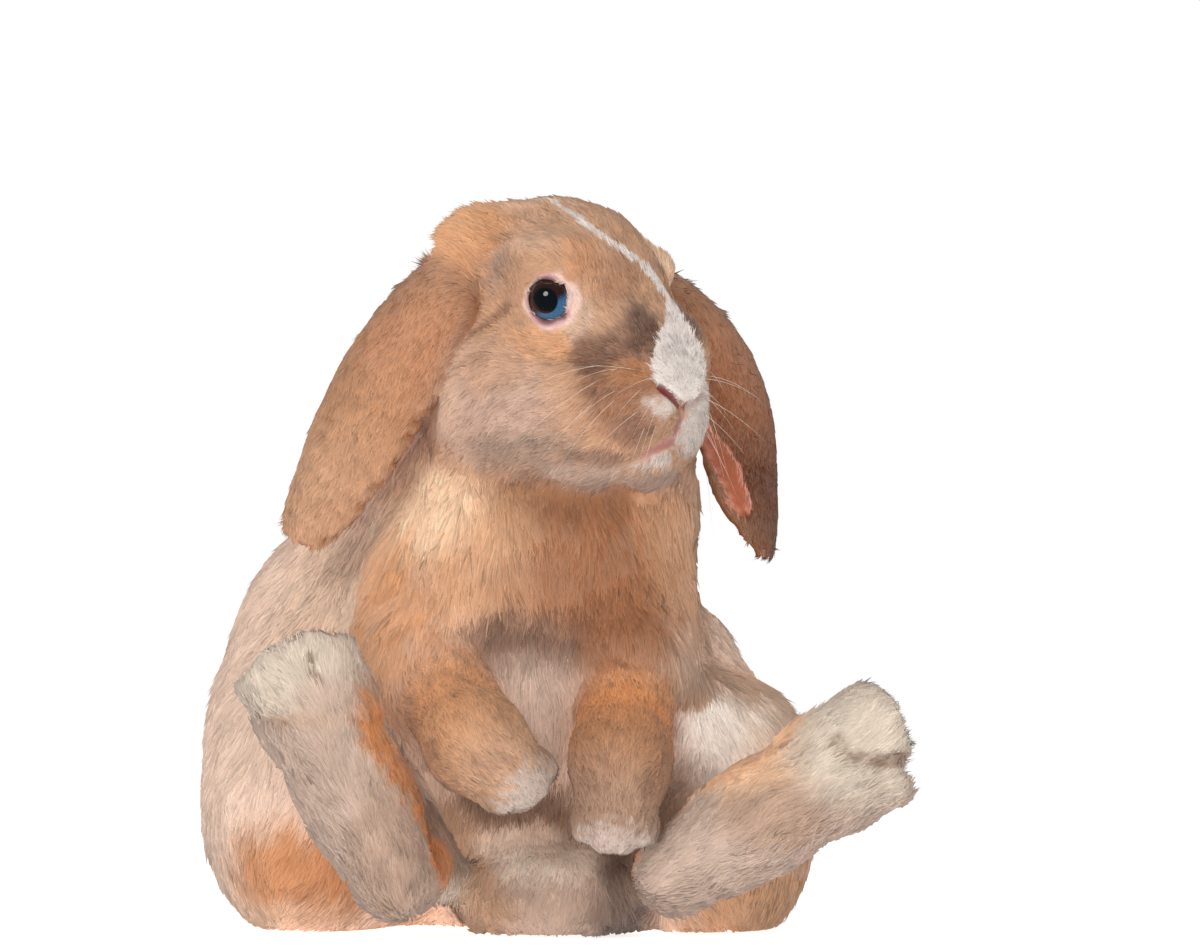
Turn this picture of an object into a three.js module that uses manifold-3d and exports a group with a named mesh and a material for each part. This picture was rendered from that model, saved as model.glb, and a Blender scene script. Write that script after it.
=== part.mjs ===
// A lop-eared rabbit sitting upright on its rump, life size, as a still museum model.
//
// The frame is millimetres with +Z up and the floor at z = 0. The chest faces -Y, so the rabbit's own
// right side is at -X. Its head is turned towards its left. Every flesh piece carries its coat: its
// surface is that of the fur, not of the skin beneath.
//
// The body is described by smooth forms, lumps and limbs, that flow together into one surface. The
// vertices of three.js spheres and capsules are moved onto that surface, and manifold-3d parts the
// pieces from each other with thin cuts.

import * as THREE from "three";
import { mergeVertices } from "three/addons/utils/BufferGeometryUtils.js";
import Module from "manifold-3d";

const wasm = await Module();
wasm.setup();

// ---------------------------------------------------------------- common values

const gap = 0.3; // what touching pieces keep between them
const weld = 1e-3; // vertices closer than this are one
const reach = 200; // the farthest that a surface lies from where it is drawn out from
const stride = 2.5; // step of the search for a surface
const halvings = 14; // how often the step is halved once the surface is passed

const furColours = {
  fawn: 0xc99268,
  tan: 0xb98a66,
  cream: 0xd9c8b2,
  grey: 0xa58d7c,
};
const eyeColour = 0x16222c;
const furRoughness = 0.9;
const eyeRoughness = 0.08;

const sides = { right: -1, left: 1 };
const at = (x, y, z) => new THREE.Vector3(x, y, z);

// ---------------------------------------------------------------- forms

// A lump is an ellipsoid. Its value is near the distance from p to its surface, and negative inside.
function lump(centre, radii, turn = new THREE.Quaternion()) {
  const turnBack = turn.clone().invert();
  const local = new THREE.Vector3();
  return (p) => {
    local.copy(p).sub(centre).applyQuaternion(turnBack);
    local.divide(radii);
    const size = local.length();
    const slope = local.divide(radii).length();
    return slope < 1e-9 ? -radii.x : (size * (size - 1)) / slope;
  };
}

// A limb is a straight rod with ball ends, whose radius runs evenly from one end to the other.
function limb(start, end, startRadius, endRadius) {
  const along = end.clone().sub(start);
  const lengthSquared = along.lengthSq();
  const local = new THREE.Vector3();
  return (p) => {
    local.copy(p).sub(start);
    const share = THREE.MathUtils.clamp(local.dot(along) / lengthSquared, 0, 1);
    const radius = THREE.MathUtils.lerp(startRadius, endRadius, share);
    return local.addScaledVector(along, -share).length() - radius;
  };
}

// Joins forms so that they flow together over a width.
function flow(width, ...forms) {
  return (p) => {
    let joined = forms[0](p);
    for (const form of forms.slice(1)) {
      const next = form(p);
      const share = Math.max(width - Math.abs(joined - next), 0) / width;
      joined = Math.min(joined, next) - (share * share * width) / 4;
    }
    return joined;
  };
}

// A frame of a body part: its own three directions, and the place that it measures from.
function partFrame(origin, first, second, third) {
  const turn = new THREE.Quaternion().setFromRotationMatrix(
    new THREE.Matrix4().makeBasis(first, second, third),
  );
  const place = (a, b, c) => at(a, b, c).applyQuaternion(turn).add(origin);
  const placedLump = ([a, b, c], [ra, rb, rc]) => lump(place(a, b, c), at(ra, rb, rc), turn);
  const placedLimb = (from, to, startRadius, endRadius) =>
    limb(place(...from), place(...to), startRadius, endRadius);
  return { place, lump: placedLump, limb: placedLimb };
}

// The same form made on the right side and on the left side.
const onBothSides = (make) => Object.values(sides).map(make);

// ---------------------------------------------------------------- from forms to solids

// Makes a closed geometry a manifold-3d solid.
function solidOf(geometry) {
  const bare = new THREE.BufferGeometry();
  bare.setAttribute("position", geometry.getAttribute("position"));
  bare.setIndex(geometry.index);
  const merged = mergeVertices(bare, weld);
  const corners = merged.index.array;
  const kept = [];
  for (let i = 0; i < corners.length; i += 3) {
    const [a, b, c] = corners.slice(i, i + 3);
    if (a !== b && b !== c && c !== a) kept.push(a, b, c);
  }
  const mesh = new wasm.Mesh({
    numProp: 3,
    vertProperties: merged.attributes.position.array,
    triVerts: new Uint32Array(kept),
  });
  return new wasm.Manifold(mesh);
}

// The distance from start, along ray, at which the form's value first passes level.
function distanceOut(form, start, ray, level) {
  const probe = new THREE.Vector3();
  const isInside = (t) => form(probe.copy(start).addScaledVector(ray, t)) < level;
  let inside = 0;
  let outside = stride;
  while (isInside(outside) && outside < reach) {
    inside = outside;
    outside += stride;
  }
  for (let i = 0; i < halvings; i++) {
    const middle = (inside + outside) / 2;
    if (isInside(middle)) inside = middle;
    else outside = middle;
  }
  return outside;
}

// Moves a sphere's vertices out from its centre onto a form. Its poles lie along the pole direction,
// and level is how far outside the form it lies.
function drawnSphere({ form, centre, pole, around, down }, level = 0) {
  const ball = new THREE.SphereGeometry(1, around, down);
  const turn = new THREE.Quaternion().setFromUnitVectors(at(0, 1, 0), pole.clone().normalize());
  const corners = ball.getAttribute("position");
  const ray = new THREE.Vector3();
  for (let i = 0; i < corners.count; i++) {
    ray.fromBufferAttribute(corners, i).normalize().applyQuaternion(turn);
    const out = distanceOut(form, centre, ray, level);
    ray.multiplyScalar(out).add(centre);
    corners.setXYZ(i, ray.x, ray.y, ray.z);
  }
  return solidOf(ball);
}

// Moves a capsule's vertices out from a curved line onto a form. Its first vertices lie to the side.
function drawnCapsule({ form, line, side, around, lengthwise }, level = 0) {
  const curve = new THREE.CatmullRomCurve3(line);
  const capRings = Math.round(around / 4);
  const capsule = new THREE.CapsuleGeometry(1, 1, capRings, around, lengthwise);
  const corners = capsule.getAttribute("position");
  const ray = new THREE.Vector3();
  const across = new THREE.Vector3();
  const over = new THREE.Vector3();
  for (let i = 0; i < corners.count; i++) {
    ray.fromBufferAttribute(corners, i);
    const height = THREE.MathUtils.clamp(ray.y, -0.5, 0.5);
    ray.y -= height;
    ray.normalize();
    const start = curve.getPointAt(height + 0.5);
    const tangent = curve.getTangentAt(height + 0.5);
    across.copy(side).addScaledVector(tangent, -side.dot(tangent)).normalize();
    over.crossVectors(across, tangent);
    ray.applyMatrix4(new THREE.Matrix4().makeBasis(across, tangent, over));
    const out = distanceOut(form, start, ray, level);
    ray.multiplyScalar(out).add(start);
    corners.setXYZ(i, ray.x, ray.y, ray.z);
  }
  return solidOf(capsule);
}

// A thin cord of a few sides along a curve, for cutting a groove.
function cord(points, radius, steps) {
  const facets = 6;
  const ring = new THREE.Shape();
  for (let i = 0; i < facets; i++) {
    const angle = (i / facets) * 2 * Math.PI;
    const [x, y] = [radius * Math.cos(angle), radius * Math.sin(angle)];
    if (i === 0) ring.moveTo(x, y);
    else ring.lineTo(x, y);
  }
  ring.closePath();
  const extrudePath = new THREE.CatmullRomCurve3(points);
  return solidOf(new THREE.ExtrudeGeometry(ring, { extrudePath, steps, bevelEnabled: false }));
}

// An ellipsoid as a solid.
function ellipsoid({ centre, radii }, extra = 0, around = 24, down = 16) {
  const ball = new THREE.SphereGeometry(1, around, down);
  ball.scale(radii.x + extra, radii.y + extra, radii.z + extra);
  ball.translate(centre.x, centre.y, centre.z);
  return solidOf(ball);
}

// Cuts the cutters away and keeps the largest closed surface that is left.
function trimmed(solid, ...cutters) {
  const left = cutters.reduce((kept, cutter) => kept.subtract(cutter), solid);
  return left.decompose().sort((a, b) => b.volume() - a.volume())[0];
}

// ---------------------------------------------------------------- body, hips and shoulders

const bodyForms = {
  rump: lump(at(-4, 46, 70), at(97, 80, 78)),
  back: lump(at(-36, 46, 114), at(86, 62, 76)),
  belly: lump(at(6, 8, 84), at(74, 66, 74)),
  chest: lump(at(17, 0, 148), at(54, 54, 54)),
  nape: lump(at(-6, 28, 172), at(62, 52, 54)),
  neck: limb(at(18, 14, 165), at(14, 10, 232), 54, 46),
  shoulderRight: limb(at(-30, -8, 146), at(-40, -34, 112), 28, 25),
  shoulderLeft: limb(at(48, -8, 138), at(52, -34, 112), 25, 25),
  thighRight: lump(at(-80, 18, 50), at(53, 72, 66)),
  thighLeft: lump(at(76, 18, 50), at(52, 70, 66)),
  kneeRight: limb(at(-72, 20, 60), at(-68, -20, 82), 40, 24),
  kneeLeft: limb(at(76, 20, 62), at(90, -18, 78), 40, 27),
};
const body = {
  form: flow(22, ...Object.values(bodyForms)),
  centre: at(0, 34, 92),
  pole: at(0, 0, 1),
  around: 38,
  down: 26,
};

const neckRegion = { centre: at(10, 12, 244), radii: at(80, 78, 54) };
const thighRegions = {
  right: { centre: at(-96, 4, 48), radii: at(54, 86, 76) },
  left: { centre: at(90, 4, 48), radii: at(52, 84, 76) },
};

// ---------------------------------------------------------------- head

const headYaw = THREE.MathUtils.degToRad(50);
const forward = at(Math.sin(headYaw), -Math.cos(headYaw), 0);
const leftward = at(Math.cos(headYaw), Math.sin(headYaw), 0);
const upward = at(0, 0, 1);
// Head forms are written as [forward, left, up] from here.
const head = partFrame(at(26, -11.5, 242), forward, leftward, upward);

const headForms = [
  head.lump([-2, 0, 20], [44, 40, 44]), // skull
  head.limb([20, 0, 12], [40, 0, -14], 28, 22), // face
  ...onBothSides((s) => head.lump([-10, 20 * s, -22], [46, 32, 40])), // jowls
  ...onBothSides((s) => head.lump([-26, 22 * s, 38], [24, 25, 25])), // ear roots
  ...onBothSides((s) => head.lump([10, 26 * s, 34], [19, 13, 11])), // brows
  ...onBothSides((s) => head.lump([24, 18 * s, -33], [27, 20, 26])), // lower cheeks
  ...onBothSides((s) => head.lump([45, 12 * s, -23], [16, 15, 16])), // whisker pads
  head.lump([40, 0, -45], [14, 15, 13]), // chin
];
const headDraft = {
  form: flow(10, ...headForms),
  centre: head.place(6, 0, -4),
  pole: forward,
  around: 42,
  down: 28,
};

// The point of the head's surface beyond [f, l, u], seen from the middle of the face.
const faceMiddle = head.place(20, 0, -20);
function onFace([f, l, u], lift = 0) {
  const ray = head.place(f, l, u).sub(faceMiddle).normalize();
  const out = distanceOut(headDraft.form, faceMiddle, ray, lift);
  return ray.multiplyScalar(out).add(faceMiddle);
}

const eye = { radius: 9.5, proud: 4.4, forward: 16, up: 18, lidRadius: 1.8, lidLift: 0.8, lidAngle: 62 };

// The direction in which a form's value grows fastest: straight out of its surface.
function outOf(form, p, step = 1) {
  const slope = ["x", "y", "z"].map((axis) => {
    const ahead = p.clone();
    const behind = p.clone();
    ahead[axis] += step;
    behind[axis] -= step;
    return form(ahead) - form(behind);
  });
  return at(...slope).normalize();
}

// Where an eye's centre lies, and which way it looks: straight out of the side of the face.
function eyePlace(s) {
  const middle = head.place(eye.forward, 0, eye.up);
  const aside = leftward.clone().multiplyScalar(s);
  const surface = aside.clone().multiplyScalar(distanceOut(headDraft.form, middle, aside, 0));
  surface.add(middle);
  const out = outOf(headDraft.form, surface);
  const centre = surface.clone().addScaledVector(out, eye.proud - eye.radius);
  return { centre, out };
}

function eyeball(s, extra = 0) {
  const { centre } = eyePlace(s);
  const ball = new THREE.SphereGeometry(eye.radius + extra, 16, 10);
  ball.translate(centre.x, centre.y, centre.z);
  return solidOf(ball);
}

// The ring of the two lids round an eye.
function lids(s) {
  const { centre, out } = eyePlace(s);
  const reachOut = eye.radius + eye.lidLift;
  const angle = THREE.MathUtils.degToRad(eye.lidAngle);
  const ring = new THREE.TorusGeometry(reachOut * Math.sin(angle), eye.lidRadius, 6, 20);
  const turn = new THREE.Quaternion().setFromUnitVectors(at(0, 0, 1), out);
  const middle = centre.clone().addScaledVector(out, reachOut * Math.cos(angle));
  ring.applyQuaternion(turn).translate(middle.x, middle.y, middle.z);
  return solidOf(ring);
}

// The grooves of the face: the cleft of the lip, and on each side the mouth and a nostril.
function faceGrooves() {
  const cleft = [[60, 0, -22], [60, 0, -29], [56, 0, -38]];
  const mouth = (s) => [[56, -2 * s, -38], [52, 9 * s, -41], [43, 19 * s, -45], [31, 27 * s, -48]];
  const nostril = (s) => [[60, 0, -23], [59, 5 * s, -20], [56, 11 * s, -16]];
  return [
    cord(cleft.map((p) => onFace(p)), 0.9, 4),
    ...onBothSides((s) => cord(mouth(s).map((p) => onFace(p)), 1.0, 7)),
    ...onBothSides((s) => cord(nostril(s).map((p) => onFace(p)), 1.3, 4)),
  ];
}

function headSolid() {
  const withLids = onBothSides(lids).reduce((whole, ring) => whole.add(ring), drawnSphere(headDraft));
  const sockets = onBothSides((s) => eyeball(s, gap));
  return trimmed(withLids, ...sockets, ...faceGrooves());
}

// ---------------------------------------------------------------- forelegs

const forelegs = {
  right: { elbow: at(-36, -26, 116), wrist: at(-12, -78, 79), knuckles: at(3, -88, 66) },
  left: { elbow: at(50, -26, 114), wrist: at(46, -78, 72), knuckles: at(44, -86, 50) },
};
const forelegSize = { elbow: 23, wrist: 19, paw: 15, toe: 7, toeSpread: 9, toeLength: 11 };

// A foreleg runs from elbow to wrist to knuckles, with four toes side by side.
function forelegDraft({ elbow, wrist, knuckles }) {
  const size = forelegSize;
  const along = knuckles.clone().sub(wrist).normalize();
  const across = at(1, 0, 0).addScaledVector(along, -along.x).normalize();
  const paw = partFrame(knuckles, across, along, across.clone().cross(along));
  const toes = [-1, -0.35, 0.35, 1].map((place) => {
    const aside = place * size.toeSpread;
    const length = size.toeLength - 2 * Math.abs(place);
    return paw.limb([aside, 0, 0], [aside * 1.2, length, 0], size.toe, size.toe * 0.85);
  });
  const arm = flow(
    10,
    limb(elbow, wrist, size.elbow, size.wrist),
    limb(wrist, knuckles, size.wrist, size.paw),
  );
  return {
    form: flow(5, arm, ...toes),
    line: [elbow, wrist, knuckles],
    side: at(1, 0, 0),
    around: 24,
    lengthwise: 9,
  };
}

// ---------------------------------------------------------------- hind legs

const hindlegs = {
  right: {
    knee: at(-66, -24, 84),
    ankle: at(-34, -56, 30),
    heel: at(-44, -72, 24),
    toes: at(-84, -94, 112),
    digitLengths: [0.93, 1.02, 1, 0.9],
  },
  left: {
    knee: at(86, -22, 78),
    ankle: at(66, -56, 32),
    heel: at(68, -72, 27),
    toes: at(149, -106, 80),
    digitLengths: [1.04, 1.08, 1, 0.93],
  },
};
const footSize = { heel: 18, middle: [24, 40, 18], ball: [26, 24, 15], toe: 10, toeSpread: 19 };

const shinDraft = ({ knee, ankle }) => ({
  form: limb(knee, ankle, 20, 17),
  line: [knee, ankle],
  side: at(1, 0, 0),
  around: 16,
  lengthwise: 4,
});

// A hind foot is measured as [across, along, towards the sole] from its heel.
function footDraft({ heel, toes, digitLengths }) {
  const along = toes.clone().sub(heel);
  const length = along.length();
  along.normalize();
  const across = along.clone().cross(at(0, -1, 0)).normalize();
  const foot = partFrame(heel, across, along, across.clone().cross(along));
  const digits = [-1, -0.42, 0.42, 1].map((place, i) => {
    const aside = place * footSize.toeSpread;
    const start = [aside * 0.75, length * 0.72, 0];
    const end = [aside, length * digitLengths[i], 0];
    return foot.limb(start, end, footSize.toe, footSize.toe * 0.9);
  });
  const sole = flow(
    12,
    foot.limb([0, 0, 0], [0, length * 0.45, 0], footSize.heel, footSize.heel),
    foot.lump([0, length * 0.42, 0], footSize.middle),
    foot.lump([0, length * 0.74, 0], footSize.ball),
  );
  return {
    form: flow(5, sole, ...digits),
    line: [heel, toes],
    side: across,
    around: 24,
    lengthwise: 9,
  };
}

// ---------------------------------------------------------------- tail

const tailCentre = at(18, -30, 14);
const tailDraft = {
  form: lump(tailCentre, at(42, 50, 23)),
  centre: tailCentre,
  pole: at(0, -1, 0),
  around: 24,
  down: 14,
};

// ---------------------------------------------------------------- ears

const earSize = {
  halfWidths: [15, 21, 24, 24, 22, 19, 13],
  curls: [1.7, 1.6, 1.5, 1.45, 1.35, 1.2, 1.0],
  thickness: 7,
};
const ears = {
  right: {
    spine: [
      at(-4, -20, 278),
      at(-18, -26, 281),
      at(-35, -30, 265),
      at(-52, -35, 238),
      at(-65, -39, 208),
      at(-77, -38, 181),
      at(-86, -35, 163),
    ],
    facing: [at(-0.3, -0.6, 0.7), at(-0.45, -0.85, 0.3), at(-0.38, -0.92, 0.05), at(-0.35, -0.93, 0)],
  },
  left: {
    spine: [
      at(36, 28, 280),
      at(52, 32, 284),
      at(74, 28, 271),
      at(92, 23, 248),
      at(103, 20, 220),
      at(107, 17, 194),
      at(108, 14, 173),
      at(109, 10, 158),
    ],
    facing: [at(0.6, 0.1, 0.8), at(0.85, -0.4, 0.3), at(0.87, -0.5, 0), at(0.9, -0.4, 0), at(0.95, -0.2, 0)],
  },
};

// A value from a list, at a share of the way along it.
function alongList(list, share) {
  const place = share * (list.length - 1);
  const index = Math.min(Math.floor(place), list.length - 2);
  return THREE.MathUtils.lerp(list[index], list[index + 1], place - index);
}

// An ear is a leaf curled about its own line into a cup. A sphere's circles of latitude become the
// leaf's cross-sections, bent to an arc whose hollow lies opposite to where the ear faces.
function earSolid({ spine, facing }, around = 20, down = 20) {
  const line = new THREE.CatmullRomCurve3(spine);
  const faces = new THREE.CatmullRomCurve3(facing);
  const ball = new THREE.SphereGeometry(1, around, down);
  const corners = ball.getAttribute("position");
  const corner = new THREE.Vector3();
  const across = new THREE.Vector3();
  for (let i = 0; i < corners.count; i++) {
    corner.fromBufferAttribute(corners, i);
    const share = (1 - corner.y) / 2;
    const ring = Math.max(Math.hypot(corner.x, corner.z), weld);
    const fullness = Math.min(1, Math.sqrt(ring / 0.6));
    const tangent = line.getTangentAt(share);
    const out = faces.getPoint(share);
    out.addScaledVector(tangent, -out.dot(tangent)).normalize();
    across.crossVectors(out, tangent);
    const curl = alongList(earSize.curls, share);
    const radius = (alongList(earSize.halfWidths, share) * fullness) / curl;
    const bend = (corner.x / ring) * curl;
    const rim = corner.z / ring;
    const depth = Math.sign(rim) * Math.sqrt(Math.abs(rim)) * (earSize.thickness / 2) * fullness;
    const point = line.getPointAt(share).addScaledVector(out, Math.cos(bend) * (radius + depth) - radius);
    point.addScaledVector(across, Math.sin(bend) * (radius + depth));
    corners.setXYZ(i, point.x, point.y, point.z);
  }
  return solidOf(ball);
}

// ---------------------------------------------------------------- parting the pieces

const floor = solidOf(new THREE.BoxGeometry(700, 700, 80).translate(0, 0, -40));
const bodySolid = drawnSphere(body);
const bodyKept = drawnSphere(body, gap);
const headKept = drawnSphere(headDraft, gap);
const soleThighs = Object.values(thighRegions).map((region) => ellipsoid(region, gap));
const { fawn, tan, cream, grey } = furColours;

const pieces = {
  torso: [trimmed(bodySolid, ellipsoid(neckRegion, gap), ...soleThighs, headKept, floor), fawn],
  neck: [trimmed(bodySolid.intersect(ellipsoid(neckRegion)), headKept), fawn],
  head: [headSolid(), tan],
};
const legsKept = [];
for (const [side, s] of Object.entries(sides)) {
  const leg = hindlegs[side];
  const footKept = drawnCapsule(footDraft(leg), gap);
  legsKept.push(footKept, drawnCapsule(shinDraft(leg), gap));
  const thigh = bodySolid.intersect(ellipsoid(thighRegions[side]));
  pieces["eye_" + side] = [eyeball(s), eyeColour];
  pieces["ear_" + side] = [trimmed(earSolid(ears[side]), headKept, bodyKept), fawn];
  pieces["foreleg_" + side] = [trimmed(drawnCapsule(forelegDraft(forelegs[side])), bodyKept), fawn];
  pieces["thigh_" + side] = [trimmed(thigh, floor), fawn];
  pieces["shin_" + side] = [trimmed(drawnCapsule(shinDraft(leg)), bodyKept, footKept, floor), cream];
  pieces["hind_foot_" + side] = [trimmed(drawnCapsule(footDraft(leg)), bodyKept, floor), cream];
}
pieces.tail = [trimmed(drawnSphere(tailDraft), bodyKept, ...legsKept, floor), grey];

// ---------------------------------------------------------------- the scene graph

const rabbit = new THREE.Group();
rabbit.name = "rabbit";
const box = new THREE.Box3();

for (const [name, [solid, color]] of Object.entries(pieces)) {
  const { vertProperties, triVerts } = solid.getMesh();
  const geometry = new THREE.BufferGeometry();
  geometry.setAttribute("position", new THREE.BufferAttribute(vertProperties, 3));
  geometry.setIndex(new THREE.BufferAttribute(triVerts, 1));
  const roughness = color === eyeColour ? eyeRoughness : furRoughness;
  const mesh = new THREE.Mesh(geometry, new THREE.MeshStandardMaterial({ color, roughness }));
  mesh.name = name;
  box.expandByObject(mesh);
  rabbit.add(mesh);
}

// The origin is on the floor, under the middle of the whole.
const middle = box.getCenter(new THREE.Vector3());
rabbit.position.set(-middle.x, -middle.y, 0);

export default rabbit;
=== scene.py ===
# A lop-eared rabbit sitting upright on its rump: one skin, a coat of tufts over it, eyes, lids, claws and
# whiskers. Sizes are millimetres in the body's own drawing frame: +Z up, the chest faces -Y, and the
# rabbit's own right side is at -X. Places on the head are written as [forward, left, up].
import math
import bmesh
import bpy
import numpy as np
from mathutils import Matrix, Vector


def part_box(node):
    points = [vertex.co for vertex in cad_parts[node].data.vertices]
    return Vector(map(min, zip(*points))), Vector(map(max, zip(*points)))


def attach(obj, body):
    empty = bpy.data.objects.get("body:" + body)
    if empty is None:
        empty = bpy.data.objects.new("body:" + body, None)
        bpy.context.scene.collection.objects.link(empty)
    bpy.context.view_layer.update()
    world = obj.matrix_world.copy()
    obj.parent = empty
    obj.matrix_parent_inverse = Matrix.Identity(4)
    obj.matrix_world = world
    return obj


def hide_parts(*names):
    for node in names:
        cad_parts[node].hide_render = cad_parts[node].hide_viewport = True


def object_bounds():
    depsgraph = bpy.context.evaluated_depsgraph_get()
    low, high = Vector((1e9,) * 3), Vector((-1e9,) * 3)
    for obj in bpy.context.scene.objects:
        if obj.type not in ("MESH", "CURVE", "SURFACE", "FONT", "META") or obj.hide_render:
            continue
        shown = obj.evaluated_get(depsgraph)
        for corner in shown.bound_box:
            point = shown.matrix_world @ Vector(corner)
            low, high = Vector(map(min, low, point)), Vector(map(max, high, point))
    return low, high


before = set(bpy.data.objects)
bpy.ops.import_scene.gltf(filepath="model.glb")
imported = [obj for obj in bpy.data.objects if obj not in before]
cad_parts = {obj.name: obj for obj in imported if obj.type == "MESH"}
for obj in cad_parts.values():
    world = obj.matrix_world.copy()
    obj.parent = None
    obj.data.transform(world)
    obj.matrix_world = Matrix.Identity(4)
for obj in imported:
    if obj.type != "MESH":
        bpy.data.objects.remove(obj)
cadLow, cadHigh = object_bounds()
millimetre = 0.001
sides = {"right": -1, "left": 1}
farAway = 40.0  # the value of a form where it is too far off to be worked out


# Each row scaled to length 1.
def unit(v):
    return v / np.maximum(np.linalg.norm(v, axis=-1, keepdims=True), 1e-9)


# 0 at low, 1 at high and an S-shaped run between them. high may be the smaller number.
def smooth(low, high, x):
    t = np.clip((x - low) / (high - low), 0, 1)
    return t * t * (3 - 2 * t)


# From a to b by a share: a where it is 0 and b where it is 1.
def mix(a, b, share):
    return a + (b - a) * share


# A smooth random value about 0: the sum of six waves in random directions, each about size long.
def wander(p, size, seed):
    rng = np.random.default_rng(seed)
    waves = unit(rng.normal(size=(6, 3))) * rng.uniform(0.6, 1.5, (6, 1)) * 2 * np.pi / size
    return np.sin(p @ waves.T + rng.uniform(0, 2 * np.pi, 6)).sum(1) / math.sqrt(6)


# Three numbers from 0 to 1 for each whole-numbered cell, the same ones each time.
def cellRandom(cell, seed):
    spun = cell @ np.array([[12.99, 39.35, 73.16], [78.23, 11.14, 52.24], [37.72, 83.16, 9.15]]) + seed * 7.77
    return np.modf(np.abs(np.sin(spun) * 43758.5453))[0]


# The forms that the body is made of, as values near the distance to a surface, negative inside.

# An ellipsoid: |q| (|q| - 1) / |q / radii| for q = (p - centre) / radii.
def lump(p, centre, radii):
    q = (p - centre) / radii
    size = np.linalg.norm(q, axis=1)
    slope = np.linalg.norm(q / radii, axis=1)
    return size * (size - 1) / np.maximum(slope, 1e-9)


# A rod with ball ends: the distance to its middle line less a radius that runs evenly from end to end.
def limb(p, start, end, startRadius, endRadius):
    start, along = np.array(start, float), np.subtract(end, start)
    share = np.clip((p - start) @ along / (along @ along), 0, 1)
    return np.linalg.norm(p - start - share[:, None] * along, axis=1) - mix(startRadius, endRadius, share)


# The least of several values, rounded where two of them are within width of each other.
def flow(width, *values):
    joined = values[0]
    for value in values[1:]:
        share = np.maximum(width - np.abs(joined - value), 0) / width
        joined = np.minimum(joined, value) - share * share * width / 4
    return joined


# Takes one value out of another, with an edge rounded over width.
def carve(width, value, hollow):
    return -flow(width, -value, hollow)


# The direction in which a value grows, by differences over a small step.
def slopeOf(valueOf, p, step=0.4):
    pushes = np.eye(3) * step
    return np.stack([valueOf(p + push) - valueOf(p - push) for push in pushes], 1) / (2 * step)


# Moves points along the slope until the value is 0.
def settle(valueOf, p, rounds=3, most=2.0):
    for _ in range(rounds):
        slope = slopeOf(valueOf, p)
        step = valueOf(p) / np.maximum((slope * slope).sum(1), 0.05)
        p = p - np.clip(step, -most, most)[:, None] * slope
    return p


# The places where rays from start first leave the form: steps out, then halvings.
def outAlong(valueOf, start, rays, reach=120.0, stride=2.5):
    inside = np.zeros(len(rays))
    for _ in range(int(reach / stride)):
        still = valueOf(start + rays * (inside + stride)[:, None]) < 0
        inside = inside + stride * still
    outside = inside + stride
    for _ in range(14):
        middle = (inside + outside) / 2
        within = valueOf(start + rays * middle[:, None]) < 0
        inside, outside = np.where(within, middle, inside), np.where(within, outside, middle)
    return start + rays * outside[:, None]


# A smooth line through a few points (centripetal Catmull-Rom), as count places. With even they lie the
# same length apart.
def curveThrough(points, count, even=True):
    points = np.array(points, float)
    ends = 2 * points[[0, -1]] - points[[1, -2]]
    padded = np.vstack([ends[:1], points, ends[1:]])
    gaps = np.sqrt(np.linalg.norm(np.diff(padded, axis=0), axis=1))
    dense = np.linspace(0, len(points) - 1, 24 * len(points))
    i = np.minimum(dense.astype(int), len(points) - 2)
    t = (dense - i)[:, None]
    d0, d1, d2 = gaps[i][:, None], gaps[i + 1][:, None], gaps[i + 2][:, None]
    p0, p1, p2, p3 = padded[i], padded[i + 1], padded[i + 2], padded[i + 3]
    m1 = ((p1 - p0) / d0 - (p2 - p0) / (d0 + d1) + (p2 - p1) / d1) * d1
    m2 = ((p2 - p1) / d1 - (p3 - p1) / (d1 + d2) + (p3 - p2) / d2) * d1
    line = p1 + m1 * t + (3 * (p2 - p1) - 2 * m1 - m2) * t**2 + (2 * (p1 - p2) + m1 + m2) * t**3
    length = np.concatenate([[0], np.cumsum(np.linalg.norm(np.diff(line, axis=0), axis=1))])
    where = length / length[-1] if even else dense / dense[-1]
    return np.stack([np.interp(np.linspace(0, 1, count), where, line[:, k]) for k in range(3)], 1)


# Body.

body = {
    "lumps": {
        "rump": ((-4, 46, 70), (97, 80, 78)),
        "back": ((-36, 46, 114), (86, 62, 76)),
        "belly": ((6, 8, 84), (74, 66, 74)),
        "chest": ((17, 0, 148), (54, 54, 54)),
        "nape": ((-6, 28, 172), (62, 52, 54)),
        "thighRight": ((-80, 18, 52), (52, 72, 63)),
        "thighLeft": ((78, 18, 48), (53, 70, 66)),
        "flankLeft": ((51, 34, 110), (45, 46, 39)),
        "flankRight": ((-85, 30, 88), (41, 50, 42)),
        "throat": ((44, -8, 184), (36, 30, 40)),
    },
    "limbs": {
        "neck": ((18, 14, 165), (14, 10, 232), 54, 46),
        "shoulderRight": ((-30, -8, 146), (-40, -34, 112), 28, 25),
        "shoulderLeft": ((48, -8, 138), (52, -34, 112), 25, 25),
        "kneeRight": ((-72, 20, 60), (-68, -20, 82), 40, 24),
        "kneeLeft": ((76, 20, 62), (90, -18, 78), 40, 27),
    },
    "flow": 22,
    "coat": 3.4,
}


# The values of a dictionary's lumps, or of each lump and its mirror image.
def lumpsOf(p, lumps, turns=(1,)):
    return [lump(p, np.multiply(centre, (1, s, 1)), radii) for centre, radii in lumps.values() for s in turns]


# The body's coat surface: its lumps and rods, flowing into one another.
def bodyForm(p):
    limbs = [limb(p, *form) for form in body["limbs"].values()]
    return flow(body["flow"], *lumpsOf(p, body["lumps"]), *limbs)


# Head.

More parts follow.
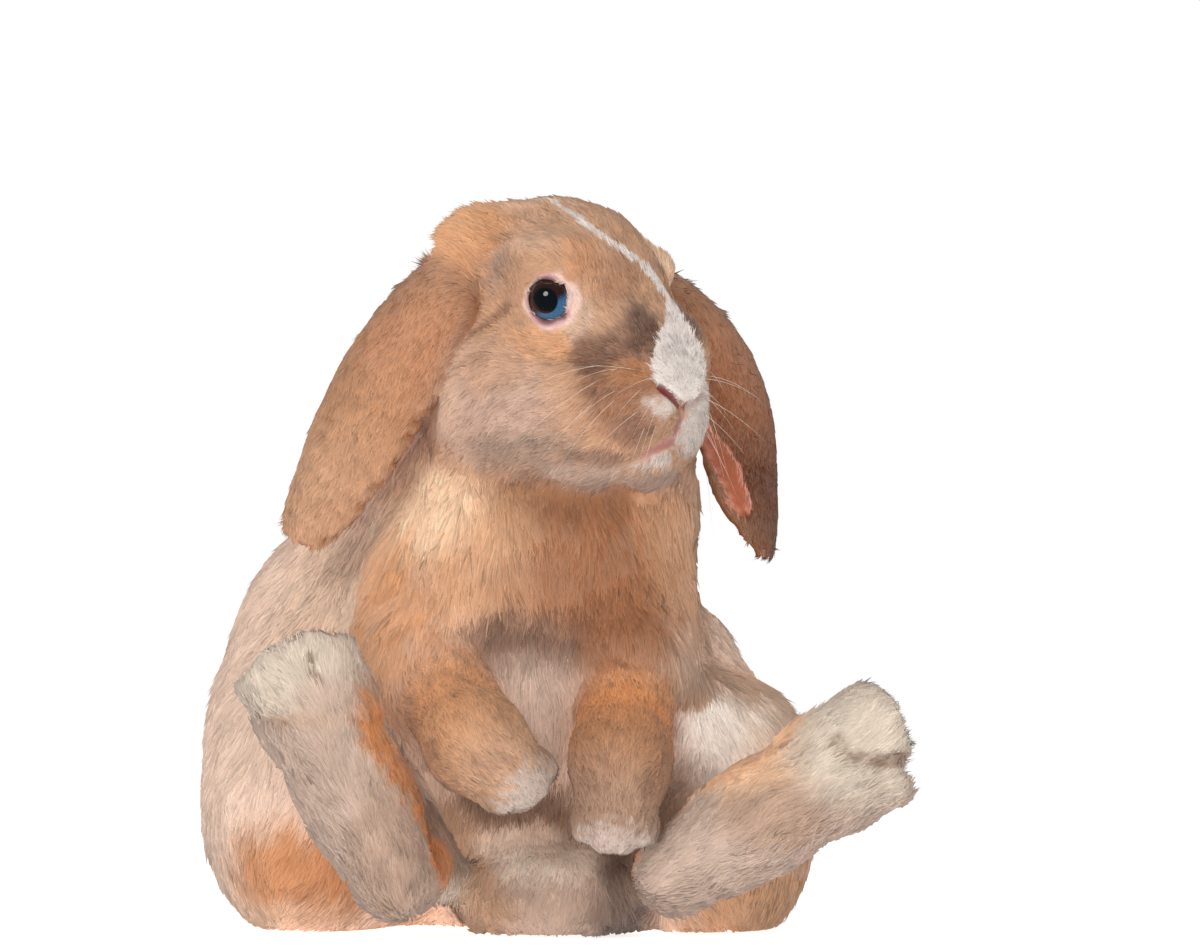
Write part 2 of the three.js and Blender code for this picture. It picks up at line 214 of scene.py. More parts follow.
head = {
    "origin": np.array([26, -11.5, 242]),
    "yaw": math.radians(50),
    "flow": 10,
    "coat": 1.7,  # the coat's depth on the face
    "cheekCoat": 2.7,  # and at the back of the cheeks
    "noseCoat": 0.7,
    "lidCoat": 1.0,
    "nose": np.array([61, 0, -23]),
    "top": {"skull": ((-3.5, 0, 20.5), (43.5, 40, 44)), "crown": ((-12, -8, 51.5), (20, 18, 12))},
    "face": ((20, 0, 12), (40, 0, -14), 28, 22),
    "pairs": {
        "jowl": ((-10, 20, -22), (46, 32, 40)),
        "earRoot": ((-26, 22, 38), (23.5, 24.5, 24)),
        "brow": ((11, 27, 34), (20, 14, 11)),
        "bridgeSide": ((36, 14, 0), (16, 14, 18)),
        "lowerCheek": ((24, 18, -33), (27, 20, 26)),
        "whiskerPad": ((45, 12, -25), (15.5, 15.5, 17)),
        "upperLip": ((44, 10, -35), (11, 11, 11)),
    },
    "front": {"fullerLeftPad": ((45, 17, -5), (12, 11, 14)), "chin": ((40, 0, -45), (14, 15, 13))},
}
headAxes = np.array([
    [math.sin(head["yaw"]), -math.cos(head["yaw"]), 0],
    [math.cos(head["yaw"]), math.sin(head["yaw"]), 0],
    [0, 0, 1],
])
eye = {
    "radius": 9.5, "forward": 17.2, "up": 18,
    "proud": 4.4,  # how far the ball stands out of the coat's surface
    "lid": 1.5, "opening": 49.5, "tall": 9,  # the lids' depth, and degrees from the gaze to their edge
    "corner": 13, "cornerAt": -42, "cornerWidth": 17,  # how much further the front corner reaches, in degrees
    "lidFlow": 2.0, "lidEdges": (1.0, 1.2), "gap": 0.12,  # roundings, and the room between ball and lid
}


# Places measured from an origin along a part's own three directions, and the way back.
def toPart(p, origin, axes):
    return (p - origin) @ axes.T


def fromPart(q, origin, axes):
    return q @ axes + origin


def toHead(p):
    return toPart(p, head["origin"], headAxes)


def fromHead(h):
    return fromPart(np.atleast_2d(np.array(h, float)), head["origin"], headAxes)


# Places on the head turned over onto its left half, so that both halves are made alike.
def folded(h):
    return np.column_stack([h[:, 0], np.abs(h[:, 1]), h[:, 2]])


# The head's coat surface.
def headForm(h):
    pairs = lumpsOf(h, head["pairs"], tuple(sides.values()))
    return flow(head["flow"], *lumpsOf(h, head["top"]), limb(h, *head["face"]), *pairs,
                *lumpsOf(h, head["front"]))


# Where an eye's centre lies and which way it looks: straight out of the side of the face.
def eyePlace(s):
    surface = outAlong(headForm, np.array([[eye["forward"], 0, eye["up"]]]), np.array([[0.0, s, 0]]))
    out = unit(slopeOf(headForm, surface, 1.0))
    return (surface + out * (eye["proud"] - eye["radius"]))[0], out[0]


eyes = {side: eyePlace(s) for side, s in sides.items()}
drawnEye = (16.399, -45.031, 260.61)  # the middle of the right eye in the CAD drawing


# An eye's own upward and forward directions, square to its gaze.
def eyeAxes(out):
    up = unit(np.array([0, 0, 1.0]) - out * out[2])
    return up, unit(np.array([1.0, 0, 0]) - out * out[0] - up * up[0])


# A place in an eye's own terms: its distance from the middle, its angle from the gaze, and the angle of the
# lids' edge there. The edge is an oval with a bell-shaped corner at the front.
def eyeTerms(h, centre, out):
    up, ahead = eyeAxes(out)
    away = h - centre
    ball = np.linalg.norm(away, axis=1)
    angle = np.degrees(np.arccos(np.clip(away @ out / np.maximum(ball, 1e-6), -1, 1)))
    around = np.degrees(np.arctan2(away @ up, away @ ahead))
    corner = eye["corner"] * np.exp(-(((around - eye["cornerAt"]) / eye["cornerWidth"]) ** 2))
    return ball, angle, eye["opening"] + corner + eye["tall"] * np.sin(np.radians(around)) ** 2


# The frame's origin under the drawing's, worked out from the CAD eye's middle.
cadEye = sum(np.array(corner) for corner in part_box("eye_right")) / 2 / millimetre
shift = np.array(drawnEye) - cadEye
shift[2] = 0

# The nose's and lips' lines: their places, the groove's half width and the rounding of its edge, how wide its
# bare skin and that skin's tint are, and the tint.
lipLines = {
    # The nostril's and the philtrum's tints are pink skin darkened with painted shade in their grooves.
    "nostril": {
        "places": [(61, 1, -26.5), (60, 7, -23), (57.5, 13, -19)],
        "half": 1.5, "rounding": 2.0, "bare": 1.8, "tinted": 2.6, "tint": (112, 36, 44),
    },
    "philtrum": {
        "places": [(61, 0, -26.5), (59, 0, -31), (56, 0, -38)],
        "half": 1.1, "rounding": 2.0, "bare": 1.5, "tinted": 2.1, "tint": (156, 100, 97),
    },
    "mouth": {
        "places": [(54, 0.5, -39), (53.5, 6, -41), (51, 11, -43.3), (48.3, 14, -46.3), (44, 17, -48.8),
                   (37, 23, -51)],
        "half": 1.2, "rounding": 2.5, "bare": 2.3, "tinted": 2.6, "tint": (178, 120, 118),
    },
}


# The distance to a bent line of a few points.
def lineDistance(p, points):
    pieces = [limb(p, a, b, 0, 0) for a, b in zip(points[:-1], points[1:])]
    return np.minimum.reduce(pieces)


# The depth of the coat over the head: least on nose, lips and lids, most on cheeks and nape.
def headCoat(h):
    depth = mix(head["coat"], head["cheekCoat"], smooth(22, -22, h[:, 0]))
    depth = mix(head["noseCoat"], depth, smooth(5, 20, np.linalg.norm(h - head["nose"], axis=1)))
    for centre, out in eyes.values():
        depth = mix(head["lidCoat"], depth, smooth(10, 19, np.linalg.norm(h - centre, axis=1)))
    return depth


# The head's skin: its form sunk by the coat, with lids, sockets and the lines of nose and lips.
def headSkin(h):
    paired = folded(h)
    value = headForm(h) + headCoat(h)
    for centre, out in eyes.values():
        ball, angle, opening = eyeTerms(h, centre, out)
        edge = np.radians(opening - angle) * eye["radius"]
        shell = np.abs(ball - eye["radius"] - eye["lid"] / 2) - eye["lid"] / 2
        value = flow(eye["lidFlow"], value, carve(eye["lidEdges"][0], shell, -edge))
        value = carve(eye["lidEdges"][1], value, -edge)
        value = np.maximum(value, eye["radius"] + eye["gap"] - ball)
    for name, line in lipLines.items():
        value = carve(line["rounding"], value, lineDistance(paired, noseLines[name]) - line["half"])
    return value


# The lines of the lips and nose, moved onto the sunk face from a point inside it.
def ontoFace(points, inside=(20, 0, -20)):
    rays = unit(np.subtract(points, inside))
    return outAlong(lambda h: headForm(h) + headCoat(h), np.array([inside], float), rays)


noseLines = {name: ontoFace(line["places"]) for name, line in lipLines.items()}

# Legs.

forelegs = {
    "right": {"elbow": (-36, -26, 116), "wrist": (-12, -78, 79), "knuckles": (3, -88, 66)},
    "left": {"elbow": (50, -26, 114), "wrist": (46, -78, 72), "knuckles": (44, -86, 50)},
}
forelegSize = {"elbow": 23, "wrist": 20, "paw": 16, "toe": 6.4, "spread": 12, "toeLength": 12, "coat": 2.4,
               "flow": 10, "toeFlow": 4}
hindlegs = {
    "right": {
        "knee": (-66, -24, 84), "ankle": (-34, -56, 30), "heel": (-44, -72, 24), "toes": (-84, -94, 112),
        "digitLengths": (0.93, 1.0, 1, 0.92), "lobes": (4,),
    },
    "left": {
        "knee": (86, -22, 78), "ankle": (66, -56, 32), "heel": (68, -72, 27), "toes": (149, -106, 80),
        "digitLengths": (1.01, 1.04, 1.01, 0.92), "lobes": (3, 4),
    },
}
footSize = {"heel": 18, "middle": (23, 40, 18), "ball": (25, 24, 16), "toe": 10.5, "spread": 17, "coat": 2.8,
            "flow": 12, "toeFlow": 6, "fused": 12, "cleft": 2}
shinSize = {"knee": 20, "ankle": 17}
toeCoat = 1.7
digitPlaces = {"hind": (-1, -0.42, 0.42, 1), "fore": (-1, -0.35, 0.35, 1)}

for leg in forelegs.values():
    elbow, wrist, knuckles = (np.array(leg[name], float) for name in ("elbow", "wrist", "knuckles"))
    along = unit(knuckles - wrist)
    across = unit(np.array([1, 0, 0]) - along * along[0])
    leg["axes"] = np.array([across, along, np.cross(across, along)])
for leg in hindlegs.values():
    along = np.subtract(leg["toes"], leg["heel"])
    leg["length"] = np.linalg.norm(along)
    across = unit(np.cross(along, (0, -1, 0)))
    leg["axes"] = np.array([across, unit(along), np.cross(across, unit(along))])


# A foreleg from elbow to wrist to knuckles, with four toes side by side.
def forelegForm(p, leg, coat=0):
    size = forelegSize
    arm = flow(
        size["flow"],
        limb(p, leg["elbow"], leg["wrist"], size["elbow"], size["wrist"]),
        limb(p, leg["wrist"], leg["knuckles"], size["wrist"], size["paw"]),
    )
    paw = toPart(p, leg["knuckles"], leg["axes"])
    toes = []
    for place in digitPlaces["fore"]:
        aside, length = place * size["spread"], size["toeLength"] - 5 * abs(place)
        toes.append(limb(paw, (aside, 0, 0), (aside * 1.05, length, 0), size["toe"], size["toe"] * 0.9))
    sunk = min(coat, toeCoat)
    depth = mix(coat, sunk, smooth(-16, 0, paw[:, 1]))
    return flow(size["toeFlow"], arm + depth, np.minimum.reduce(toes) + sunk)


# A hind foot, measured as [across, along, towards the sole] from its heel.
def footForm(p, leg, coat=0):
    foot, length, size = toPart(p, leg["heel"], leg["axes"]), leg["length"], footSize
    sole = flow(
        size["flow"],
        limb(foot, (0, 0, 0), (0, length * 0.45, 0), size["heel"], size["heel"]),
        lump(foot, (0, length * 0.42, 0), size["middle"]),
        lump(foot, (0, length * 0.74, 0), size["ball"]),
    )
    digits = []
    for place, reach in zip(digitPlaces["hind"], leg["digitLengths"]):
        aside = place * size["spread"]
        digits.append(limb(foot, (aside * 0.75, length * 0.72, 0), (aside, length * reach, 0),
                           size["toe"], size["toe"] * 0.9))
    sunk = min(coat, toeCoat + 1)
    # Toes whose fur has grown together make one lobe.
    ends = leg["lobes"]
    lobes = [flow(size["fused"], *digits[first:last]) for first, last in zip((0, *ends), ends)]
    return flow(size["toeFlow"], sole + coat, flow(size["cleft"], *lobes) + sunk)


# A shin is one rod from knee to ankle.
def shinForm(p, leg):
    return limb(p, leg["knee"], leg["ankle"], shinSize["knee"], shinSize["ankle"])


# Tail and ears.

tail = {"centre": (18, -30, 15), "radii": (42, 50, 25), "coat": 3.6}
ears = {
    "right": {
        "spine": [(-4, -20, 277), (-18, -26, 279), (-36, -30, 265), (-53.5, -35, 238), (-67, -39, 208),
                  (-78.5, -38, 181), (-88, -35, 161)],
        "facing": [(-0.3, -0.6, 0.7), (-0.45, -0.85, 0.3), (-0.38, -0.92, 0.05), (-0.35, -0.93, 0)],
        "halfWidths": (15, 24, 29.5, 31, 27, 20, 12),
    },
    "left": {
        "spine": [(36, 28, 280), (52, 32, 284), (75, 28, 271), (94, 23, 248), (105.5, 20, 220),
                  (108.5, 17, 194), (109.5, 14, 173), (110, 10, 157)],
        "facing": [(0.6, 0.1, 0.8), (0.85, -0.4, 0.3), (0.87, -0.5, 0), (0.9, -0.4, 0), (0.95, -0.2, 0)],
        "halfWidths": (15, 22, 28, 32, 33, 30, 20),
    },
}
earSize = {
    "curls": (1.7, 1.6, 1.5, 1.45, 1.35, 1.2, 1.0),
    "thickness": 4.4,  # of the skin; with its fur an ear is 7 thick
    "samples": 72,
}

# The left ear's front edge is rolled out lower down, so that its bare pink inside shows there. Its reddish
# colour is partly that pink skin and partly painted light shining through the ear.
pinkInside = {"line": [(81, 0, 213), (90, 0, 197), (97, 0, 179)], "width": 4.4, "colour": (172, 96, 68)}

earShare = np.linspace(0, 1, earSize["samples"])
for ear in ears.values():
    ear["line"] = curveThrough(ear["spine"], earSize["samples"])
    ear["tangent"] = unit(np.gradient(ear["line"], axis=0))
    out = curveThrough(ear["facing"], earSize["samples"], even=False)
    ear["out"] = unit(out - (out * ear["tangent"]).sum(1)[:, None] * ear["tangent"])
    ear["across"] = np.cross(ear["out"], ear["tangent"])
    knots = np.linspace(0, 1, len(ear["halfWidths"]))
    ring = np.sqrt(np.maximum(1 - (1 - 2 * earShare) ** 2, 1e-3))
    ear["fullness"] = np.minimum(1, np.sqrt(ring / 0.6))
    ear["curl"] = np.interp(earShare, knots, earSize["curls"])
    ear["arc"] = np.interp(earShare, knots, ear["halfWidths"]) * ear["fullness"] / ear["curl"]


# A place in an ear's own terms: the sample of its line that is nearest, the angle round its cupped
# section, and the height over the leaf's middle, which is above 0 on the furred outer side.
def earPlace(p, ear):
    nearest = np.empty(len(p), int)
    for rows in np.array_split(np.arange(len(p)), max(1, len(p) // 20000)):
        offset = p[rows, None, :] - ear["line"][None]
        nearest[rows] = (offset**2).sum(2).argmin(1)
    offset = p - ear["line"][nearest]
    aside = (offset * ear["across"][nearest]).sum(1)
    over = (offset * ear["out"][nearest]).sum(1) + ear["arc"][nearest]
    beyond = (offset * ear["tangent"][nearest]).sum(1)
    beyond = np.where((nearest == 0) | (nearest == earSize["samples"] - 1), beyond, 0)
    return nearest, np.arctan2(aside, over), np.hypot(aside, over) - ear["arc"][nearest], beyond


# An ear is a leaf curled into a cup: the distance to an arc of each section, less half the leaf.
def earForm(p, ear):
    nearest, angle, height, beyond = earPlace(p, ear)
    past = np.maximum(np.abs(angle) - ear["curl"][nearest], 0) * ear["arc"][nearest]
    return np.sqrt(height**2 + past**2 + beyond**2) - earSize["thickness"] / 2 * ear["fullness"][nearest]


# The distance from that bare pink patch's edge, seen square on from the front.
def pinkAway(p):
    line = np.multiply(pinkInside["line"], (1, 0, 1))
    away = lineDistance(p * [1, 0, 1], line) - pinkInside["width"] * smooth(218, 200, p[:, 2])
    return np.where(p[:, 1] < 22, away, farAway)


# The whole skin.

crease = {"margin": 12, "half": 3.0, "rounding": 4, "bare": 2.6}
creases = {  # deep lines between the pads of the hind feet
    "right": [(-98, -96.5, 86.5), (-92, -100.5, 84.5), (-86, -102.5, 84.5)],
    "left": [(128, -112.5, 79.5), (133, -113.3, 75), (138, -113.3, 72), (144, -112.5, 70.5),
             (150, -110.8, 71.2), (157, -108, 73)],
}


# A form's value where p is within a box round some points, and a far value elsewhere.
def within(p, points, margin, valueOf):
    points = np.atleast_2d(np.array(points, float))
    near = ((p > points.min(0) - margin) & (p < points.max(0) + margin)).all(1)
    value = np.full(len(p), farAway)
    if near.any():
        value[near] = valueOf(p[near])
    return value


# The joints and ends of a leg.
def legPoints(leg):
    names = ("elbow", "wrist", "knuckles", "knee", "ankle", "heel", "toes")
    return [leg[name] for name in names if name in leg]


# How far from its own points each part's value is worked out.
partReach = {"head": 82, "tail": 62, "foreleg": 36, "shin": 36, "foot": 46, "ear": 34}


# Every part's value: at the coat's surface, or with sunk at the skin under it.
def partValues(p, sunk):
    depth = 1.0 if sunk else 0.0
    headValue = headSkin if sunk else headForm
    values = {
        "body": bodyForm(p) + depth * body["coat"],
        "head": within(p, [head["origin"]], partReach["head"], lambda q: headValue(toHead(q))),
        "tail": within(p, [tail["centre"]], partReach["tail"],
                       lambda q: lump(q, tail["centre"], tail["radii"]) + depth * tail["coat"]),
    }
    for side in sides:
        fore, hind, ear = forelegs[side], hindlegs[side], ears[side]
        values["foreleg_" + side] = within(p, legPoints(fore), partReach["foreleg"],
                                           lambda q: forelegForm(q, fore, depth * forelegSize["coat"]))
        values["shin_" + side] = within(p, [hind["knee"], hind["ankle"]], partReach["shin"],
                                        lambda q: shinForm(q, hind) + depth * footSize["coat"])
        values["foot_" + side] = within(p, [hind["heel"], hind["toes"]], partReach["foot"],
                                        lambda q: footForm(q, hind, depth * footSize["coat"]))
        values["ear_" + side] = within(p, ear["line"], partReach["ear"], lambda q: earForm(q, ear))
    return values


skinSize = {"floor": 1.6, "headFlow": 7, "ankleFlow": 8, "legFlow": 6, "earFlow": 3, "tailFlow": 20}


# The skin: all parts flowing into one another, with the creases carved out and cut flat above the floor.
def skinValue(p):
    parts = partValues(p, True)
    value = flow(skinSize["headFlow"], parts["body"], parts["head"])
    for side in sides:
        leg = flow(skinSize["ankleFlow"], parts["shin_" + side], parts["foot_" + side])
        value = flow(skinSize["legFlow"], value, parts["foreleg_" + side], leg)
        value = flow(skinSize["earFlow"], value, parts["ear_" + side])
    for line in creases.values():
        depth = within(p, line, crease["margin"], lambda q: lineDistance(q, line) - crease["half"])
        value = carve(crease["rounding"], value, depth)
    value = flow(skinSize["tailFlow"], value, parts["tail"])
    return np.maximum(value, skinSize["floor"] - p[:, 2])


# From values to a mesh.

# The values at all crossings of the grid lines. Every third crossing is worked out first, and the rest
# only where that shows the surface near.
def gridValues(lines, valueOf, stride=3):
    rough = np.stack(np.meshgrid(*[line[::stride] for line in lines], indexing="ij"), -1)
    roughValue = inChunks(valueOf, rough.reshape(-1, 3)).reshape(rough.shape[:3])
    value = roughValue[np.ix_(*[np.arange(len(line)) // stride for line in lines])]
    near = np.abs(value) < 2.2 * stride * max(np.diff(line).max() for line in lines)
    cell = np.argwhere(near)
    places = np.stack([line[cell[:, k]] for k, line in enumerate(lines)], 1)
    value[near] = inChunks(valueOf, places)
    return value


# A value worked out for a limited number of places at a time.
def inChunks(valueOf, p, size=60000):
    return np.concatenate([valueOf(rows) for rows in np.array_split(p, max(1, len(p) // size))])


# The surface where the grid's value is 0: each crossed cell has one vertex, at the mean of the places
# where its edges are crossed, and each crossed edge has a quad of its four cells.
def netSurface(value, lines):
    inside, shape = value < 0, value.shape
    total, count = np.zeros((value.size, 3)), np.zeros(value.size)
    quads = []
    for axis in range(3):
        near, far = [slice(None)] * 3, [slice(None)] * 3
        near[axis], far[axis] = slice(0, -1), slice(1, None)
        start = np.argwhere(inside[tuple(near)] != inside[tuple(far)])
        end = start + np.eye(3, dtype=int)[axis]
        startValue, endValue = value[tuple(start.T)], value[tuple(end.T)]
        place = start.astype(float)
        place[:, axis] += startValue / (startValue - endValue)
        b, c = (axis + 1) % 3, (axis + 2) % 3
        corners = []
        for stepB, stepC in ((0, 0), (-1, 0), (-1, -1), (0, -1)):
            cell = start.copy()
            cell[:, b] += stepB
            cell[:, c] += stepC
            flat = np.ravel_multi_index(cell.T, shape)
            corners.append(flat)
            count += np.bincount(flat, minlength=value.size)
            for k in range(3):
                total[:, k] += np.bincount(flat, place[:, k], value.size)
        quad = np.stack(corners, 1)
        quads.append(np.where((startValue < 0)[:, None], quad, quad[:, ::-1]))
    used = count > 0
    number = np.cumsum(used) - 1
    middle = total[used] / count[used][:, None]
    places = [np.interp(middle[:, k], np.arange(len(line)), line) for k, line in enumerate(lines)]
    return np.stack(places, 1), number[np.concatenate(quads)]


# Puts arrays into a new object: places in drawing millimetres, and faces that all have as many corners.
def pieceOf(name, places, faces, material):
    mesh = bpy.data.meshes.new(name)
    mesh.vertices.add(len(places))
    mesh.vertices.foreach_set("co", ((places - shift) * millimetre).ravel())
    corners = faces.shape[1]
    mesh.loops.add(faces.size)
    mesh.loops.foreach_set("vertex_index", faces.ravel().astype(np.int32))
    mesh.polygons.add(len(faces))
    mesh.polygons.foreach_set("loop_start", np.arange(0, faces.size, corners, dtype=np.int32))
    mesh.update(calc_edges=True)
    mesh.validate()
    mesh.shade_smooth()
    mesh.materials.append(material)
    piece = bpy.data.objects.new(name, mesh)
    bpy.context.scene.collection.objects.link(piece)
    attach(piece, "root")
    return piece


# A mesh's vertices back in drawing millimetres, and its triangles.
def arraysOf(mesh):
    places = np.empty(len(mesh.vertices) * 3)
    mesh.vertices.foreach_get("co", places)
    mesh.calc_loop_triangles()
    triangles = np.empty(len(mesh.loop_triangles) * 3, dtype=np.int32)
    mesh.loop_triangles.foreach_get("vertices", triangles)
    return places.reshape(-1, 3) / millimetre + shift, triangles.reshape(-1, 3)


# Each vertex's normal: the sum of its triangles' normals by their areas, scaled to length 1.
def vertexNormals(places, triangles):
    a, b, c = (places[triangles[:, k]] for k in range(3))
    face = np.cross(b - a, c - a)
    normals = np.zeros_like(places)
    for k in range(3):
        for axis in range(3):
            normals[:, axis] += np.bincount(triangles[:, k], face[:, axis], len(places))
    return unit(normals)


# Puts one colour at each vertex.
def colourLayer(mesh, colours):
    layer = mesh.color_attributes.new("furColour", "FLOAT_COLOR", "POINT")
    layer.data.foreach_set("color", np.column_stack([colours, np.ones(len(colours))]).ravel())


# Markings.

# A colour as a colour picker shows it, turned into light: each share of 255 goes by the display's curve.
def colour(*levels):
    share = np.array(levels) / 255
    return np.where(share > 0.04045, ((share + 0.055) / 1.055) ** 2.4, share / 12.92)


furColours = {
    "body": (234, 200, 178), "back": (212, 158, 116), "head": (190, 144, 112), "foreleg": (205, 150, 110),
    "shin": (166, 138, 118), "foot": (184, 158, 142), "tail": (188, 158, 140), "ear": (208, 152, 108),
}
# Patches are soft-edged ellipsoids laid over one another in this order: where, how large, colour, share.
bodyPatches = [
    ((-10, 100, 120), (140, 62, 130), (206, 150, 110), 0.85),
    ((10, -40, 165), (66, 44, 46), (208, 152, 112), 0.95),
    # Partly the chest's own darker orange, partly painted shade under the head.
    ((36, -48, 150), (34, 34, 36), (146, 90, 54), 0.9),
    ((22, -50, 180), (40, 22, 11), (140, 92, 62), 0.8),
    # The shoulder's own pale colour, lightened further: painted light where the head and ear shade it.
    ((-40, -30, 184), (30, 30, 28), (255, 212, 174), 0.95),
    ((-72, -10, 166), (24, 34, 24), (255, 218, 190), 0.85),
    ((-75, -6, 138), (24, 30, 32), (222, 190, 164), 0.8),
    ((-53, -30, 152), (17, 20, 20), (222, 154, 102), 0.75),
    ((-4, -46, 170), (16, 16, 12), (226, 174, 132), 0.4),
    ((72, -14, 165), (20, 40, 52), (184, 134, 98), 0.8),
    ((-44, -36, 114), (26, 24, 28), (206, 140, 90), 0.9),
    ((46, -44, 118), (24, 24, 24), (146, 92, 58), 0.9),
    ((6, -54, 120), (26, 18, 17), (110, 81, 66), 0.9),
    ((10, -56, 92), (26, 22, 24), (204, 176, 158), 0.9),
    # Painted shade in the crease between the belly and the tail.
    ((4, -50, 56), (34, 30, 11), (106, 74, 52), 0.9),
    # Painted light: lightened past the fur's own colour where the paws and feet shade the tail's top.
    ((10, -50, 34), (34, 30, 10), (250, 224, 202), 0.95),
    ((-24, -50, 40), (12, 30, 18), (206, 164, 128), 0.7),
    # Painted shade in the same crease, on the left.
    ((34, -46, 44), (14, 30, 24), (140, 106, 86), 0.8),
    ((-85, -45, 22), (42, 34, 25), (182, 110, 46), 0.85),
    ((-98, -20, 8), (40, 50, 9), (216, 178, 150), 0.7),
    ((-60, 60, 20), (60, 60, 26), (206, 150, 106), 0.6),
    ((92, -44, 80), (33, 30, 27), (246, 234, 222), 1.0),
    ((62, -46, 94), (8, 16, 16), (176, 116, 76), 0.9),
    ((75, -47, 101), (9, 14, 7), (158, 92, 48), 0.9),
    ((88, -34, 106), (30, 26, 9), (176, 138, 112), 0.85),
    ((112, 0, 60), (26, 60, 60), (208, 162, 126), 0.7),
    ((98, -20, 20), (34, 40, 28), (184, 136, 98), 0.9),
]
facePatches = [
    ((34, 12, 22), (12, 10, 16), (154, 107, 79), 0.7),
    ((-5, 48, -28), (34, 20, 26), (186, 152, 134), 0.9),
    ((8, 44, -46), (26, 22, 12), (148, 122, 106), 0.85),
    ((-28, 46, -14), (14, 14, 20), (212, 174, 150), 0.85),
    ((18, 39, 0), (16, 12, 8), (212, 154, 112), 0.95),
    ((0, 46, -10), (16, 14, 10), (196, 150, 120), 0.8),
    ((30, 29, 8), (6, 7, 9), (208, 176, 154), 0.7),
    ((-8, 38, 36), (8, 10, 12), (168, 134, 116), 0.85),
    ((10, 36, 41), (13, 12, 5), (210, 166, 136), 0.7),
    ((27, 27, 35), (6, 8, 7), (194, 134, 94), 0.75),
    ((-26, 30, 44), (18, 20, 18), (214, 152, 104), 0.9),
    ((46, 24, -22), (16, 13, 16), (148, 98, 68), 0.9),
    ((38, 26, -6), (11, 9, 10), (100, 66, 50), 0.88),
    ((45, 17, 1), (10, 9, 8), (122, 88, 70), 0.88),
    ((49, 12, 4), (9, 8, 12), (100, 70, 55), 0.92),
    ((48, 21, -13), (8, 8, 5), (170, 112, 72), 0.85),
    ((38, 27, -20), (8, 6, 3), (124, 86, 66), 0.6),
    ((47, 20, -34), (12, 9, 7), (136, 96, 76), 0.8),
    ((38, 28, -46), (14, 10, 3.5), (116, 86, 72), 0.75),
    ((30, 24, -56), (20, 18, 8), (184, 160, 146), 0.75),
]
faceLook = {
    "foldShadow": [(-19, 40, 3), (-9, 39, 9), (-2, 38, 15)], "foldShadowColour": (122, 82, 60),  # painted shadow of a fold behind each eye
    # groove is painted shade along the nostrils and the philtrum.
    "eyeRing": (226, 192, 178), "groove": (178, 138, 134),
}
bareLook = {"lid": (196, 150, 150), "lidEdge": (120, 78, 78)}
# The white blaze by its angle round the head, seen from the side: its middle and half width there.
blaze = {
    "angles": (-20.5, -18, -15.3, -12.3, -8.3, -4.9, -1, 3.7, 7.5, 12, 17.6, 22.5, 26.5, 31.3, 34.8, 39.2,
               45.1, 49, 55.7, 63, 71.5, 83, 96),
    "middles": (0.5, 0, 0, 1.3, 2, 2.3, 2.5, 3, 4.5, 6.5, 8, 8.5, 5.5, 3, -0.9, -3.6, -6.7, -9.4,
                -12.6, -15.9, -15.6, -15.5, -14),
    "halves": (8, 13, 16, 16.5, 16, 14.2, 12.3, 10, 7.5, 5.8, 4.3, 3.8, 4.5, 3.7, 3.1, 2.6, 2.5, 1.9,
               1.6, 1.4, 1.4, 1.4, 1.4),
    "colour": (224, 212, 204),
}
sidedPatches = [  # those of the head that differ from side to side
    ((-10, 0, 52), (22, 26, 14), (210, 168, 140), 0.7),
    ((26, 26, 38), (20, 14, 16), (255, 210, 174), 0.8),
    ((54, 11, -30), (16, 11, 14), (198, 186, 178), 1.0),
    ((57, -12, -26.5), (8, 8, 5), (210, 194, 185), 0.9),
    ((51, -5, -47.2), (6, 6.5, 2.6), (212, 196, 188), 0.9),
    ((48, -12, -49.6), (6, 6, 2), (196, 172, 160), 0.85),
    ((46, 4, -54), (11, 12, 6), (166, 140, 128), 0.8),
]
earColours = {  # from root to tip; the left ear's are darker: painted shade, as it faces away from the light
    "right": [(150, 88, 52), (176, 122, 87), (184, 126, 90), (182, 129, 92), (190, 142, 108),
              (186, 137, 103)],
    "left": [(176, 124, 90), (162, 114, 85), (170, 112, 77), (156, 97, 64), (100, 50, 25), (122, 76, 50)],
}
earLook = {"edge": (150, 102, 72), "inside": (220, 156, 136), "pinkEdge": (226, 152, 130)}
# crease is painted shade in the hind feet's creases.
legLook = {"dapple": (128, 88, 64), "pawTip": (188, 168, 156), "crease": (104, 70, 50)}
forelegColours = {  # from elbow to knuckles
    "right": [(214, 155, 112), (218, 152, 106), (208, 143, 96), (202, 143, 98), (192, 148, 117)],
    "left": [(200, 140, 96), (208, 140, 92), (208, 132, 76), (182, 123, 80), (164, 128, 104)],
}
footPatches = [
    ((-90, -95, 106), (30, 24, 18), (204, 188, 170), 0.9),
    ((-46, -88, 50), (12, 30, 36), (178, 144, 120), 0.6),
    ((-72, -104, 95), (10, 12, 8), (184, 155, 138), 0.6),
    ((-30, -70, 30), (16, 40, 30), (150, 118, 98), 0.5),
    ((92, -92, 72), (34, 26, 14), (250, 198, 156), 0.9),
    ((104, -106, 50), (22, 20, 14), (168, 132, 106), 0.6),
    ((72, -92, 32), (24, 24, 14), (190, 165, 149), 0.7),
    ((-48, -92, 34), (16, 20, 22), (164, 136, 118), 0.6),
    ((118, -100, 78), (14, 24, 12), (190, 160, 138), 0.8),
    ((-60, -100, 80), (14, 24, 26), (182, 156, 138), 0.7),
    ((140, -106, 80), (26, 30, 26), (204, 190, 172), 0.85),
    ((-85, -106, 87), (16, 12, 3.0), (176, 144, 120), 0.7),
]
